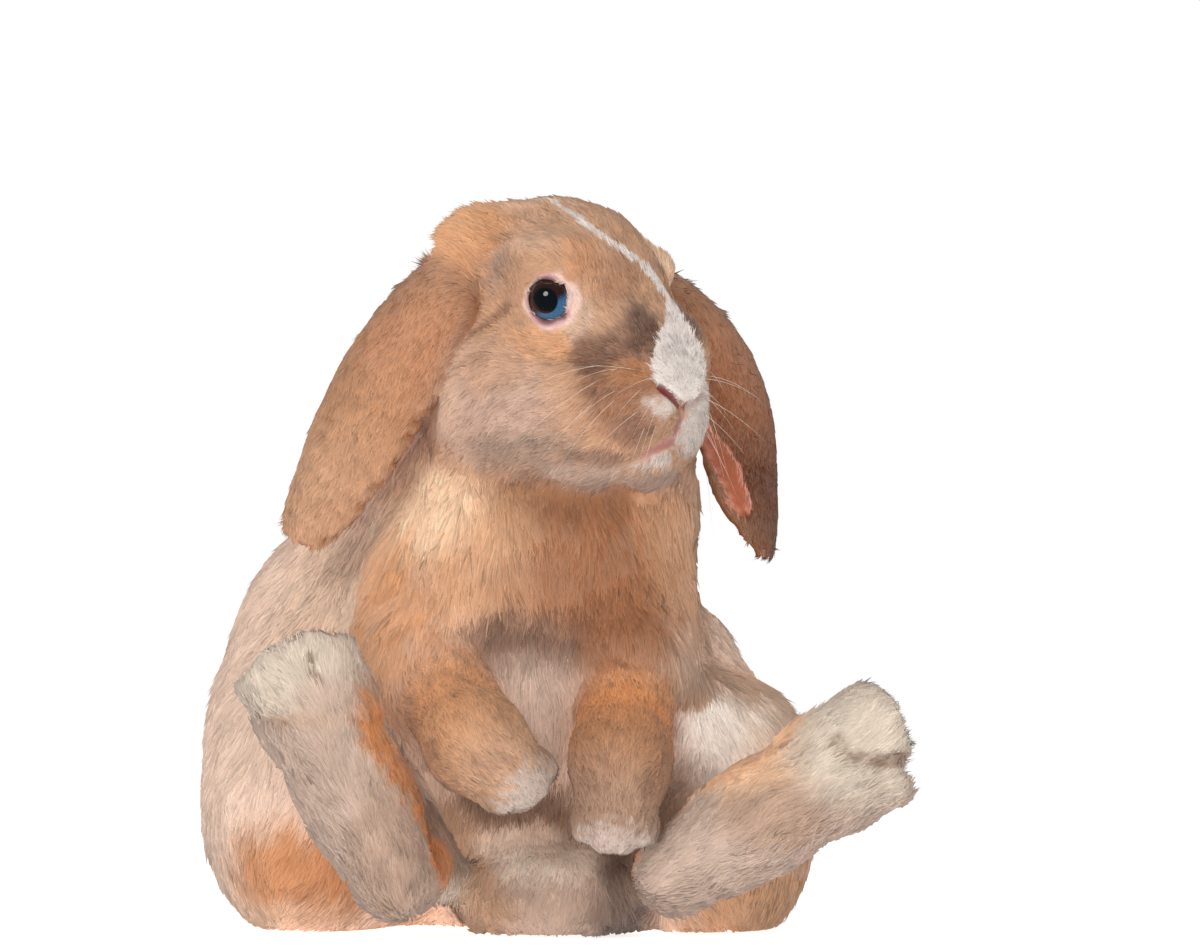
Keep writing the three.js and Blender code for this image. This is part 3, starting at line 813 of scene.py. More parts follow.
footStripes = [  # along a line: its places, half width, colour, share
    ([(-60, -92, 96), (-50, -94, 80), (-40, -86, 62), (-30, -70, 40), (-26, -72, 26)],
     7, (196, 118, 58), 0.9),
    ([(-52, -46, 96), (-44, -45, 84), (-31, -43, 65), (-20, -38, 38), (-22, -58, 18)],
     9, (224, 208, 190), 0.9),
    ([(114, -98, 84), (100, -96, 74), (84, -88, 64), (68, -72, 52), (52, -72, 34)],
     6, (232, 176, 134), 0.85),
    # The next three short dark lines are painted shade in the gaps between the right foot's toes.
    ([(-77.5, -100, 113.5), (-76, -101, 111.5)], 1.4, (112, 84, 66), 0.75),
    ([(-75.5, -102, 105.5), (-73, -102, 103.5)], 1.6, (112, 84, 66), 0.75),
    ([(-89, -95, 115), (-87.5, -96, 113)], 1.3, (120, 96, 80), 0.6),
]
markLook = {"ragged": 0.22, "meetingShade": 0.2}  # of the patches' edges, and the painted shade where two parts meet
tailPatches = [
    # Painted light: lightened past the tail's own colour where the paws and feet shade its top.
    ((16, -62, 34), (28, 32, 11), (255, 234, 214), 1.0),
    ((14, -80, 14), (22, 18, 14), (172, 142, 124), 0.7),
    ((-16, -60, 14), (18, 34, 22), (178, 134, 100), 0.85),
    # Painted shade on the side of the tail that faces away from the light.
    ((58, -50, 12), (28, 40, 26), (88, 64, 56), 0.95),
]


# Lays soft-edged ellipsoids of colour over what is there. Two wandering values make their edges ragged.
def paintPatches(colours, places, patches, ragged=markLook["ragged"]):
    edge = ragged * (wander(places, 12, 5) + 0.7 * wander(places, 5, 6))
    for middle, radii, levels, share in patches:
        away = np.linalg.norm((places - middle) / radii, axis=1) + edge * min(1, 12 / min(radii)) * 0.7
        weight = share * smooth(1.4, 0.6, away)
        colours = mix(colours, colour(*levels), weight[:, None])
    return colours


# A colour for each share of the way along an even list of colours, straight from one to the next.
def blendAlong(levels, share):
    levels = np.array([colour(*level) for level in levels])
    knots = np.linspace(0, 1, len(levels))
    return np.stack([np.interp(share, knots, levels[:, k]) for k in range(3)], 1)


# How much each place belongs to each part, from the parts' values at the coat's surface.
def partShares(p, softness=3.0):
    values = partValues(p, False)
    stack = np.stack(list(values.values()), 1)
    weights = np.exp(-(stack - stack.min(1, keepdims=True)) / softness)
    return dict(zip(values, (weights / weights.sum(1, keepdims=True)).T))


# The colour of skin or coat at each place. Every part has its own, blended by the shares.
def markings(p, shares):
    h = toHead(p)
    paired = folded(h)
    total = np.zeros((len(p), 3))

    def add(name, colours):
        total[:] += colours * shares[name][:, None]

    # Painted shade: fur is darker where two parts meet, as shade gathers in the crease between them.
    nearest = np.maximum.reduce(list(shares.values()))
    meetingShadeFactor = (1 - markLook["meetingShade"] * smooth(0.9, 0.5, nearest))[:, None] ** np.array([0.8, 1.0, 1.1])
    start = np.ones((len(p), 1))
    add("body", paintPatches(start * colour(*furColours["body"]), p, bodyPatches))
    face = paintPatches(start * colour(*furColours["head"]), paired, facePatches)
    # Painted shadow of a fold behind each eye.
    foldShadowShare = 0.7 * smooth(3.2, 0.8, lineDistance(paired, faceLook["foldShadow"]))
    face = mix(face, colour(*faceLook["foldShadowColour"]), foldShadowShare[:, None])
    for centre, out in eyes.values():
        away = np.linalg.norm(h - centre - [1.5, 0, -1.0], axis=1) + 0.7 * wander(h, 7, 7)
        face = mix(face, colour(*faceLook["eyeRing"]), smooth(13.6, 11.2, away)[:, None])
    angle = np.degrees(np.arctan2(h[:, 2], h[:, 0]))
    middle, half = (np.interp(angle, blaze["angles"], blaze[name]) for name in ("middles", "halves"))
    beside = np.abs(h[:, 1] - middle) + (0.35 + 0.04 * half) * wander(h, 5, 8)
    white = smooth(half + 0.7, half - 0.7, beside) * smooth(100, 90, angle) * smooth(-24, -19, angle)
    face = mix(face, colour(*blaze["colour"]), white[:, None])
    face = paintPatches(face, h, sidedPatches, 0.3)
    # Painted shade along the nostrils and the philtrum.
    groove = np.minimum(lineDistance(h, noseLines["nostril"]), lineDistance(h, noseLines["philtrum"]))
    add("head", mix(face, colour(*faceLook["groove"]), 0.75 * smooth(2.4, 0.8, groove)[:, None]))
    add("tail", paintPatches(start * colour(*furColours["tail"]), p, tailPatches))
    for side in sides:
        fore, ear = forelegs[side], ears[side]
        reach = np.subtract(fore["knuckles"], fore["elbow"])
        share = np.clip((p - fore["elbow"]) @ reach / (reach @ reach), 0, 1)
        limbs = blendAlong(forelegColours[side], share)
        toe = toPart(p, fore["knuckles"], fore["axes"])[:, 1] + 3 * wander(p, 5, 9)
        dark = smooth(0.2, 1.2, wander(p, 12, 12)) * 0.35
        limbs = mix(limbs, colour(*legLook["dapple"]), dark[:, None])
        add("foreleg_" + side, mix(limbs, colour(*legLook["pawTip"]), smooth(3, 11, toe)[:, None]))
        # Painted shade in the creases between the hind feet's pads.
        creaseShade = 0.9 * smooth(5.2, 1.8, lineDistance(p, creases[side]) + 0.7 * wander(p, 6, 11))[:, None]
        for name in ("shin", "foot"):
            painted = paintPatches(start * colour(*furColours[name]), p, footPatches)
            for line, width, levels, strength in footStripes:
                away = lineDistance(p, line) + min(1.5, width / 4) * wander(p, 9, 13)
                strength = strength * smooth(width * 1.5, width * 0.5, away)
                painted = mix(painted, colour(*levels), strength[:, None])
            add(name + "_" + side, mix(painted, colour(*legLook["crease"]), creaseShade))
        nearest, angle, height = earPlace(p, ear)[:3]
        outer = blendAlong(earColours[side], earShare[nearest])
        aside = np.abs(angle) / ear["curl"][nearest]
        outer = mix(outer, colour(*earLook["edge"]), 0.6 * smooth(0.7, 1.0, aside)[:, None])
        inner = smooth(0.3, -0.6, height) * smooth(1.0, 0.8, aside)
        if side == "left":
            away = pinkAway(p) + 0.6 * wander(p, 8, 14)
            outer = mix(outer, colour(*pinkInside["colour"]), smooth(1.0, -1.0, away)[:, None])
            rim = 0.8 * smooth(1.0, 0.2, np.abs(away))
            outer = mix(outer, colour(*earLook["pinkEdge"]), rim[:, None])
        add("ear_" + side, mix(outer, colour(*earLook["inside"]), inner[:, None]))
    return total * meetingShadeFactor


# Finishes.

# A new material with its nodes, its links and its shader.
def nodeSet(name):
    material = bpy.data.materials.new(name)
    material.use_nodes = True
    nodes, links = material.node_tree.nodes, material.node_tree.links
    shader = next(node for node in nodes if node.type == "BSDF_PRINCIPLED")
    return material, nodes, links, shader


# A maker of Math nodes in one tree: each of their inputs is a number or another node's output.
def mathMaker(nodes, links):
    def compute(operation, a, b=0.0):
        node = nodes.new("ShaderNodeMath")
        node.operation = operation
        for socket, value in zip(node.inputs, (a, b)):
            if isinstance(value, (int, float)):
                socket.default_value = value
            else:
                links.new(value, socket)
        return node.outputs[0]

    return compute


# Shades a colour with fine grain and broad clouds, and gives a height for bump.
def makeCoatShade():
    group = bpy.data.node_groups.new("coatShade", "ShaderNodeTree")
    face = group.interface
    face.new_socket("Colour", in_out="INPUT", socket_type="NodeSocketColor")
    for name, value in (("Grain size", 0.0012), ("Grain", 0.1), ("Cloud", 0.06)):
        face.new_socket(name, in_out="INPUT", socket_type="NodeSocketFloat").default_value = value
    face.new_socket("Colour", in_out="OUTPUT", socket_type="NodeSocketColor")
    face.new_socket("Height", in_out="OUTPUT", socket_type="NodeSocketFloat")
    nodes, links = group.nodes, group.links
    start, end = nodes.new("NodeGroupInput"), nodes.new("NodeGroupOutput")
    place = nodes.new("ShaderNodeTexCoord")
    compute = mathMaker(nodes, links)
    grain = nodes.new("ShaderNodeTexNoise")
    grain.inputs["Detail"].default_value = 3
    links.new(place.outputs["Object"], grain.inputs["Vector"])
    links.new(compute("DIVIDE", 1.0, start.outputs["Grain size"]), grain.inputs["Scale"])
    cloud = nodes.new("ShaderNodeTexNoise")
    cloud.inputs["Scale"].default_value = 55
    links.new(place.outputs["Object"], cloud.inputs["Vector"])
    grained = compute("MULTIPLY", compute("SUBTRACT", grain.outputs[0], 0.5), start.outputs["Grain"])
    clouded = compute("MULTIPLY", compute("SUBTRACT", cloud.outputs[0], 0.5), start.outputs["Cloud"])
    level = compute("ADD", compute("MULTIPLY", compute("ADD", grained, clouded), 2.0), 1.0)
    tint = nodes.new("ShaderNodeHueSaturation")
    links.new(start.outputs["Colour"], tint.inputs["Color"])
    links.new(level, tint.inputs["Value"])
    links.new(tint.outputs[0], end.inputs["Colour"])
    links.new(grain.outputs[0], end.inputs["Height"])
    return group


coatShade = makeCoatShade()


# A finish that takes its colour from the painted markings.
def furFinish(name, grain, cloud, roughness, sheen, bump, size=0.0012):
    material, nodes, links, shader = nodeSet(name)
    paint = nodes.new("ShaderNodeAttribute")
    paint.attribute_name = "furColour"
    shade = nodes.new("ShaderNodeGroup")
    shade.node_tree = coatShade
    links.new(paint.outputs["Color"], shade.inputs["Colour"])
    for socket, value in (("Grain size", size), ("Grain", grain), ("Cloud", cloud)):
        shade.inputs[socket].default_value = value
    links.new(shade.outputs["Colour"], shader.inputs["Base Color"])
    if bump:
        relief = nodes.new("ShaderNodeBump")
        relief.inputs["Strength"].default_value = bump
        relief.inputs["Distance"].default_value = 0.0006
        links.new(shade.outputs["Height"], relief.inputs["Height"])
        links.new(relief.outputs[0], shader.inputs["Normal"])
    shader.inputs["Roughness"].default_value = roughness
    shader.inputs["Specular IOR Level"].default_value = 0.2
    shader.inputs["Sheen Weight"].default_value = sheen
    shader.inputs["Sheen Roughness"].default_value = 0.5
    return material


skinFinish = furFinish("rabbitSkin", grain=0.12, cloud=0.06, roughness=0.7, sheen=0.0, bump=0.5)
coatFinish = furFinish("rabbitCoat", grain=0.04, cloud=0.06, roughness=0.6, sheen=0.1, bump=0)


# The skin piece.

skinMesh = {
    "step": 2.85, "margin": 5,
    "face": ([26, 0, -2], 48.0), "lips": ([56, 0, -30], 19.0), "eyes": 14.5,  # finer within these reaches
}


# The skin's mesh: a net over the grid where its value changes sign, settled onto the value 0.
def buildSkin():
    low = np.array(cadLow) / millimetre + shift - skinMesh["margin"]
    high = np.array(cadHigh) / millimetre + shift + skinMesh["margin"]
    lines = [np.arange(low[k], high[k], skinMesh["step"]) for k in range(3)]
    places, faces = netSurface(gridValues(lines, skinValue), lines)
    places = inChunks(lambda rows: settle(skinValue, rows, 2), places)
    piece = pieceOf("skin", places, faces, skinFinish)
    refine(piece.data)
    return piece


# Cuts the edges in two over the face, and again round the eyes, nose and lips, and settles the points each
# time.
def refine(mesh):
    face, lips = ((np.array(middle), reach) for middle, reach in (skinMesh["face"], skinMesh["lips"]))
    fine = [(centre, skinMesh["eyes"]) for centre, out in eyes.values()] + [lips]
    for zones in ([face], fine, [(centre, reach * 0.87) for centre, reach in fine]):
        work = bmesh.new()
        work.from_mesh(mesh)
        work.verts.ensure_lookup_table()
        h = toHead(np.array([v.co for v in work.verts]) / millimetre + shift)
        near = np.zeros(len(h), bool)
        for centre, reach in zones:
            near |= np.linalg.norm(h - centre, axis=1) < reach
        edges = [e for e in work.edges if near[e.verts[0].index] and near[e.verts[1].index]]
        bmesh.ops.subdivide_edges(work, edges=edges, cuts=1, use_grid_fill=True)
        work.to_mesh(mesh)
        work.free()
        places = arraysOf(mesh)[0]
        h, near = toHead(places), np.zeros(len(places), bool)
        for centre, reach in zones:
            near |= np.linalg.norm(h - centre, axis=1) < reach + 3
        places[near] = settle(skinValue, places[near], 4, 0.8)
        mesh.vertices.foreach_set("co", ((places - shift) * millimetre).ravel())
    mesh.update()


# Bare skin shows pink on the lids' edge, in the nostrils and on the lips. In the nostrils and the philtrum's
# groove its tint is darkened with painted shade.
def bareTint(p, colours):
    h = toHead(p)
    paired = folded(h)
    for centre, out in eyes.values():
        ball, angle, opening = eyeTerms(h, centre, out)
        near = smooth(eye["radius"] + 4, eye["radius"] + 2, ball) * smooth(opening + 8, opening + 4, angle)
        colours = mix(colours, colour(*bareLook["lid"]), near[:, None])
        near *= smooth(opening + 3, opening, angle)
        colours = mix(colours, colour(*bareLook["lidEdge"]), near[:, None])
    for name, line in lipLines.items():
        away = lineDistance(paired, noseLines[name]) + 0.8 * (h[:, 1] > 2) + 2.4 * smooth(50, 45, h[:, 0])
        tinted = smooth(line["tinted"], line["tinted"] * 0.5, away)
        colours = mix(colours, colour(*line["tint"]), tinted[:, None])
    return colours


skin = buildSkin()
skinPlaces, skinTriangles = arraysOf(skin.data)
skinNormals = vertexNormals(skinPlaces, skinTriangles)
skinShares = partShares(skinPlaces)
colourLayer(skin.data, bareTint(skinPlaces, markings(skinPlaces, skinShares)))
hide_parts("torso", "neck", "head", "ear_right", "ear_left", "foreleg_right", "foreleg_left",
            "thigh_right", "thigh_left", "shin_right", "shin_left", "hind_foot_right", "hind_foot_left",
            "tail")
print("skin:", len(skinPlaces), "places,", len(skinTriangles), "triangles")

# The coat.

# root is the tone at a tuft's root: painted shade deep in the fur.
tuftStyles = {
    "body": {"length": 12, "width": 0.52, "lift": 11, "clump": 6, "ticked": 0.05, "root": 0.72},
    "head": {"length": 7.5, "width": 0.44, "lift": 14, "clump": 4, "ticked": 0.15, "root": 0.72},
    "tail": {"length": 13, "width": 0.52, "lift": 18, "clump": 7, "ticked": 0.1, "root": 0.78},
    "foreleg": {"length": 6.5, "width": 0.44, "lift": 18, "clump": 3, "ticked": 0.18, "root": 0.74},
    "shin": {"length": 9, "width": 0.46, "lift": 14, "clump": 5, "ticked": 0.04, "root": 0.82},
    "foot": {"length": 10, "width": 0.44, "lift": 22, "clump": 5, "ticked": 0.02, "root": 0.86},
    "ear": {"length": 7, "width": 0.48, "lift": 9, "clump": 3, "ticked": 0.12, "root": 0.76},
}
tuftLook = {
    "turns": (9, 13), "lifts": (0.3, 0.2),  # degrees and shares: from tuft to tuft, and from place to place
    "lengths": (0.65, 1.25), "archTop": 0.45, "buried": 0.4, "lowest": 0.25,
    "clumping": (0.12, 0.34),  # how far the arch's top and the tip lean towards the clump's own place
    "tones": (0.1, 0.28),  # from tuft to tuft, and from clump to clump
    "tickTone": 0.76, "paleTips": 0.15, "tipColour": (250, 228, 204), "tipTone": 1.04,
    "roundness": 0.5, "eyeParting": 11,
}
coatSource = np.array([14, 20, 262])  # body hair lies away from here
tailRoot = np.array([18, 24, 36])


# One setting of the tufts' styles at each place, blended by the parts' shares.
def styleOf(key, p, shares):
    total = np.zeros(len(p))
    for name, share in shares.items():
        total += share * tuftStyles[name.split("_")[0]][key]
    return total


# Which way the hair lies: away from the nose on the head, down the ears and legs, away from the nape on
# the body, flattened into the surface.
def lieOf(p, normals, shares):
    h = toHead(p)
    back = h - head["nose"]
    back[:, 2] -= 0.45 * np.linalg.norm(back, axis=1) * smooth(12, -20, h[:, 2])
    parts = {"body": unit(p - coatSource), "head": unit(back) @ headAxes, "tail": unit(p - tailRoot)}
    for side in sides:
        fore, hind, ear = forelegs[side], hindlegs[side], ears[side]
        nearest = earPlace(p, ear)[0]
        parts["ear_" + side] = ear["tangent"][nearest]
        down = unit(np.subtract(fore["wrist"], fore["elbow"]))
        paw = toPart(p, fore["knuckles"], fore["axes"])[:, 1]
        parts["foreleg_" + side] = mix(down, fore["axes"][1], smooth(-30, 0, paw)[:, None])
        parts["shin_" + side] = np.tile(unit(np.subtract(hind["ankle"], hind["knee"])), (len(p), 1))
        parts["foot_" + side] = np.tile(hind["axes"][1], (len(p), 1))
    lie = sum(shares[name][:, None] * way for name, way in parts.items())
    lie = lie - (lie * normals).sum(1)[:, None] * normals
    # Round an eye the hair parts as water does round a post: what runs towards or from it is turned by the
    # square of the post's radius over that of the distance.
    for centre, out in eyes.values():
        away = unit(h - centre) @ headAxes
        share = np.minimum(1, (tuftLook["eyeParting"] / np.linalg.norm(h - centre, axis=1)) ** 2)[:, None]
        lie = lie + share * (lie - 2 * (lie * away).sum(1)[:, None] * away)
    lie = lie - (lie * normals).sum(1)[:, None] * normals
    return unit(lie)


# Random roots on the skin's triangles, each with its normal.
def rootsOn(triangles, count, rng):
    a, b, c = (skinPlaces[triangles[:, k]] for k in range(3))
    area = np.linalg.norm(np.cross(b - a, c - a), axis=1) / 2
    pick = rng.choice(len(triangles), count, p=area / area.sum())
    u, v = np.sqrt(rng.random(count)), rng.random(count)
    weights = np.stack([1 - u, u * (1 - v), u * v], 1)[:, :, None]
    places, normals = ((layer[triangles[pick]] * weights).sum(1) for layer in (skinPlaces, skinNormals))
    return places, unit(normals)


# The unwrap that a coat is baked on: the angle round an axis through the middle, and the place in order of
# height along it, both from 0.02 to 0.98.
def unwrapRound(p, middle, upright):
    side = unit(np.cross(upright, (0.3, 0.9, 0.1)))
    third = np.cross(upright, side)
    q = p - middle
    turn = np.arctan2(q @ side, q @ third) / (2 * np.pi) + 0.5
    height = q @ upright
    height = np.argsort(np.argsort(height)) / max(1, len(p))
    return 0.02 + 0.96 * np.stack([turn, height], 1)


tuftPatch = 0.003
tuftFaces = np.array([[0, 2, 1], [3, 1, 2], [0, 1, 3], [0, 3, 2]])
# Where each tuft triangle's corners lie within the tuft's own patch, a quarter of it for each triangle.
quarters = np.array([[0, 0], [0.5, 0], [0, 0.5], [0.5, 0.5]])
tuftMap = np.array([[0.1, 0.1], [0.42, 0.1], [0.26, 0.42]]) + quarters[:, None]


tuftChanges = {  # how long tufts are there, as a share of their style's length
    "nose": 0.34, "cheeks": 1.5, "eyes": 0.34, "lips": 0.6, "chest": 1.5, "floor": 0.5, "leftThigh": 0.6,
    "rightEarRoot": 1.15, "earRims": 0.6, "pawTips": 0.45, "creases": 0.5, "toes": 0.6,
}
leftThigh = {"middle": (92, -44, 78), "radii": (34, 34, 30)}
rightEarRoot = (-24, -30, 42)  # on the head


# The length, width and lift of the tufts, and the way each faces for its shading: their styles' values,
# changed by place.
def tuftSizes(roots, normals, shares):
    changes = tuftChanges
    h, onHead = toHead(roots), shares["head"]
    length, width = styleOf("length", roots, shares), styleOf("width", roots, shares)
    lift = np.radians(styleOf("lift", roots, shares))
    fromNose = np.linalg.norm(h - head["nose"], axis=1)
    shorter = mix(changes["nose"], 1.0, smooth(6, 42, fromNose))
    shorter = shorter * mix(1.0, changes["cheeks"], smooth(10, -30, h[:, 0]))
    for centre, out in eyes.values():
        away = np.linalg.norm(h - centre, axis=1)
        shorter *= mix(changes["eyes"], 1.0, smooth(10, 24, away))
    shorter *= mix(changes["lips"], 1.0, smooth(2, 7, lineDistance(folded(h), noseLines["mouth"])))
    length *= mix(1.0, shorter, onHead)
    front = shares["body"] * smooth(10, -30, roots[:, 1]) * smooth(60, 100, roots[:, 2])
    length *= mix(1.0, changes["chest"], front) * mix(changes["floor"], 1.0, smooth(2, 18, roots[:, 2]))
    fromThigh = np.linalg.norm((roots - leftThigh["middle"]) / leftThigh["radii"], axis=1)
    length *= mix(changes["leftThigh"], 1.0, smooth(0.8, 1.3, fromThigh))
    earRoot = onHead * smooth(28, 14, np.linalg.norm(h - rightEarRoot, axis=1))
    length *= mix(1.0, changes["rightEarRoot"], earRoot)
    width *= mix(1.0, np.clip(shorter, 0.7, 1.2), onHead)
    facing = normals
    for centre, out in eyes.values():
        near = smooth(18, 12, np.linalg.norm(h - centre, axis=1))
        lift, width = lift * (1 - 0.75 * near), width * (1 - 0.4 * near)
        facing = mix(facing, out @ headAxes, 0.8 * near[:, None])
    for side in sides:
        fore, hind, ear = forelegs[side], hindlegs[side], ears[side]
        nearest, angle = earPlace(roots, ear)[:2]
        rim = np.maximum(smooth(0.55, 0.95, np.abs(angle) / ear["curl"][nearest]),
                         smooth(0.86, 0.98, earShare[nearest])) * shares["ear_" + side]
        length *= mix(1.0, changes["earRims"], rim)
        lift *= 1 - 0.75 * rim
        facing = mix(facing, ear["out"][nearest], 0.7 * rim[:, None])
        paw = toPart(roots, fore["knuckles"], fore["axes"])[:, 1]
        length *= mix(1.0, changes["pawTips"], shares["foreleg_" + side] * smooth(-4, 9, paw))
        length *= mix(changes["creases"], 1.0, smooth(2.5, 9, lineDistance(roots, creases[side])))
        foot = toPart(roots, hind["heel"], hind["axes"])[:, 1] / hind["length"]
        length *= mix(1.0, changes["toes"], shares["foot_" + side] * smooth(0.85, 1.0, foot))
    return length, width, lift, facing


# Tufts as whole arrays: each is a thin arched blade with four corners, which are its root, its left and
# right edge at the top of the arch, and its tip.
def growCoat(name, triangles, count, seed, middle, upright):
    rng, look = np.random.default_rng(seed), tuftLook
    roots, normals = rootsOn(triangles, count, rng)
    shares = partShares(roots)
    length, width, lift, facing = tuftSizes(roots, normals, shares)
    lie = lieOf(roots, normals, shares)
    atRandom, byPlace = np.radians(look["turns"])
    turn = (atRandom * rng.normal(size=count) + byPlace * wander(roots, 26, 3))[:, None]
    lie = lie * np.cos(turn) + np.cross(lie, normals) * np.sin(turn)
    aside = np.cross(lie, normals)
    length = length * rng.uniform(*look["lengths"], count)
    atRandom, byPlace = look["lifts"]
    lift = lift * np.clip(1 + atRandom * rng.normal(size=count) + byPlace * wander(roots, 14, 4), 0.3, 2.2)

    steep, flat = lift[:, None], (lift * rng.uniform(-0.9, 0.1, count))[:, None]
    reach, archTop = length[:, None], look["archTop"]
    mid = roots + archTop * reach * (lie * np.cos(steep) + normals * np.sin(steep))
    tip = mid + (1 - archTop) * reach * (lie * np.cos(flat) + normals * np.sin(flat))
    # Tufts of one clump lean towards a place drawn at random in their cell of space.
    size = np.round(styleOf("clump", roots, shares))[:, None]
    cell = np.floor(roots / size)
    toward = (cell + 0.2 + 0.6 * cellRandom(cell, 1)) * size - roots
    toward -= (toward * normals).sum(1)[:, None] * normals
    mid, tip = mid + look["clumping"][0] * toward, tip + look["clumping"][1] * toward
    half = (width / 2)[:, None]
    places = np.stack([roots - normals * look["buried"], mid - aside * half, mid + aside * half, tip], 1)
    places[..., 2] = np.maximum(places[..., 2], look["lowest"])

    colours = markings(roots + lie * reach * 0.3, shares)
    ofTufts, ofClumps = look["tones"]
    tone = 1 + ofTufts * rng.normal(size=count) + ofClumps * (cellRandom(cell, 2)[:, 0] - 0.5)
    ticked = rng.random(count) < styleOf("ticked", roots, shares)
    tone = np.where(ticked, tone * look["tickTone"], tone)
    colours = colours * np.clip(tone, 0.5, 1.4)[:, None]
    pale = mix(colours, colour(*look["tipColour"]), look["paleTips"])
    # Roots are darker by their style's root tone: painted shade deep in the coat.
    dark = colours * styleOf("root", roots, shares)[:, None]
    shades = np.stack([dark, colours, colours, pale * look["tipTone"]], 1)

    faces = (tuftFaces[None] + 4 * np.arange(count)[:, None, None]).reshape(-1, 3)
    piece = pieceOf(name, places.reshape(-1, 3), faces, coatFinish)
    colourLayer(piece.data, np.clip(shades.reshape(-1, 3), 0, 1))
    # Shading normals: the skin's, less the part that lies along the hair, and rounded across the hair. A
    # tuft's under side has them too, as hair lets light through.
    along = unit(tip - roots)
    smoothed = facing - (facing * along).sum(1)[:, None] * along
    across = look["roundness"] * aside
    above = unit(np.stack([smoothed, smoothed - across, smoothed + across, smoothed], 1))
    corners = above[:, tuftFaces.ravel()]
    piece.data.normals_split_custom_set(corners.reshape(-1, 3))
    layer = piece.data.uv_layers.new(name="OFBake")
    patch = unwrapRound(roots, middle, upright)[:, None, None, :] + (tuftMap[None] - 0.5) * tuftPatch
    layer.data.foreach_set("uv", patch.ravel())
    # Light passes through hair, so the skin under it casts the shadows and takes the bounced light.
    piece.visible_shadow = piece.visible_diffuse = False
    print(name + ":", count, "tufts")
    return piece


# Sorts the skin's triangles into the coat's pieces.
def coatRegions():
    centre, normals = skinPlaces[skinTriangles].mean(1), skinNormals[skinTriangles].mean(1)
    shares = partShares(centre)
    names = list(shares)
    part = np.array(names)[np.stack(list(shares.values()), 1).argmax(1)]
    h = toHead(centre)
    covered = centre[:, 2] > skinSize["floor"] + 0.3
    for place, out in eyes.values():
        ball, angle, opening = eyeTerms(h, place, out)
        covered &= (ball > eye["radius"] + 4) | (angle > opening + 5)
    paired = folded(h)
    less = 1.4 * (h[:, 1] > 3) + 1.7 * (h[:, 0] < 49.5)  # the bare strip is narrower there
    for name, line in lipLines.items():
        covered &= lineDistance(paired, noseLines[name]) > line["bare"] - less
    covered &= ~((part == "ear_left") & (pinkAway(centre) < -0.3))
    for side in sides:
        covered &= lineDistance(centre, creases[side]) > crease["bare"]
        nearest, angle, height = earPlace(centre, ears[side])[:3]
        hidden = (height < 0) & (np.abs(angle) < 0.85 * ears[side]["curl"][nearest])
        hidden |= ((normals * ears[side]["out"][nearest]).sum(1) < 0.1) & (earShare[nearest] > 0.12)
        covered &= ~((part == "ear_" + side) & hidden)
    onBody = part == "body"
    front, belowChest, high = centre[:, 1] < -4, centre[:, 2] <= 60, centre[:, 2] > 104
    regions = {
        "coat_face": (part == "head") & (h[:, 0] > 6),
        "coat_cheeks": (part == "head") & (h[:, 0] <= 6),
        "coat_ear_right": part == "ear_right",
        "coat_ear_left": part == "ear_left",
        "coat_chest": onBody & front & ~belowChest,
        "coat_back": onBody & ~front & high,
        "coat_haunches": onBody & np.where(front, belowChest, ~high),
        "coat_forelegs": np.char.startswith(part, "foreleg"),
        "coat_feet": np.char.startswith(part, "foot") | np.char.startswith(part, "shin"),
        "coat_tail": part == "tail",
    }
    return {name: skinTriangles[chosen & covered] for name, chosen in regions.items()}


coats = {  # how many tufts, and the middle and axis of the unwrap
    "coat_face": (49000, fromHead((0, 0, -10))[0], headAxes[0]),
    "coat_cheeks": (40000, fromHead((0, 0, -10))[0], headAxes[0]),
    "coat_ear_right": (22000, (-60, -36, 220), unit(np.array([-0.6, 0, -0.8]))),
    "coat_ear_left": (20000, (100, 20, 220), unit(np.array([0.2, 0, -1.0]))),
    "coat_chest": (48000, (0, 20, 90), headAxes[2]),
    "coat_back": (44000, (0, 20, 90), headAxes[2]),
    "coat_haunches": (48000, (0, 20, 90), headAxes[2]),
    "coat_forelegs": (30000, (0, 20, 90), headAxes[2]),
    "coat_feet": (40000, (0, 20, 90), headAxes[2]),
    "coat_tail": (19000, (18, -30, 10), np.array([0, -1.0, 0])),
}

for number, (name, triangles) in enumerate(coatRegions().items()):
    count, middle, upright = coats[name]
    growCoat(name, triangles, count // (1), 100 + number, middle, upright)


# Eyes.

# A closed surface from rings of places, with a single point at each end.
def ringed(rings, first, last):
    count, around = rings.shape[:2]
    places = np.vstack([[first], rings.reshape(-1, 3), [last]])
    ring = 1 + np.arange(count * around).reshape(count, around)
    turned = np.roll(ring, -1, axis=1)
    a, b, c, d = ring[:-1], turned[:-1], turned[1:], ring[1:]
    walls = np.concatenate([np.stack([a, b, c], -1).reshape(-1, 3), np.stack([a, c, d], -1).reshape(-1, 3)])
    start = np.stack([np.zeros(around, int), turned[0], ring[0]], -1)
    end = np.stack([np.full(around, len(places) - 1), ring[-1], turned[-1]], -1)
    faces = np.concatenate([walls, start, end])
    a, b, c = (places[faces[:, k]] for k in range(3))
    isInward = (np.cross(a, b) * c).sum() < 0
    return places, faces[:, ::-1] if isInward else faces


eyeLook = {
    "pupil": 0.56, "rim": 0.9, "bulge": 0.5, "pupilColour": (5, 9, 13), "rimColour": (30, 24, 26),
    "blue": ((20, 58, 96), (74, 128, 168)), "lidShadeAndReflection": ((20, 11, 11), (56, 32, 27)),  # two of each: the iris's blue, and the dark brown of painted shade and reflection of the upper lid
}


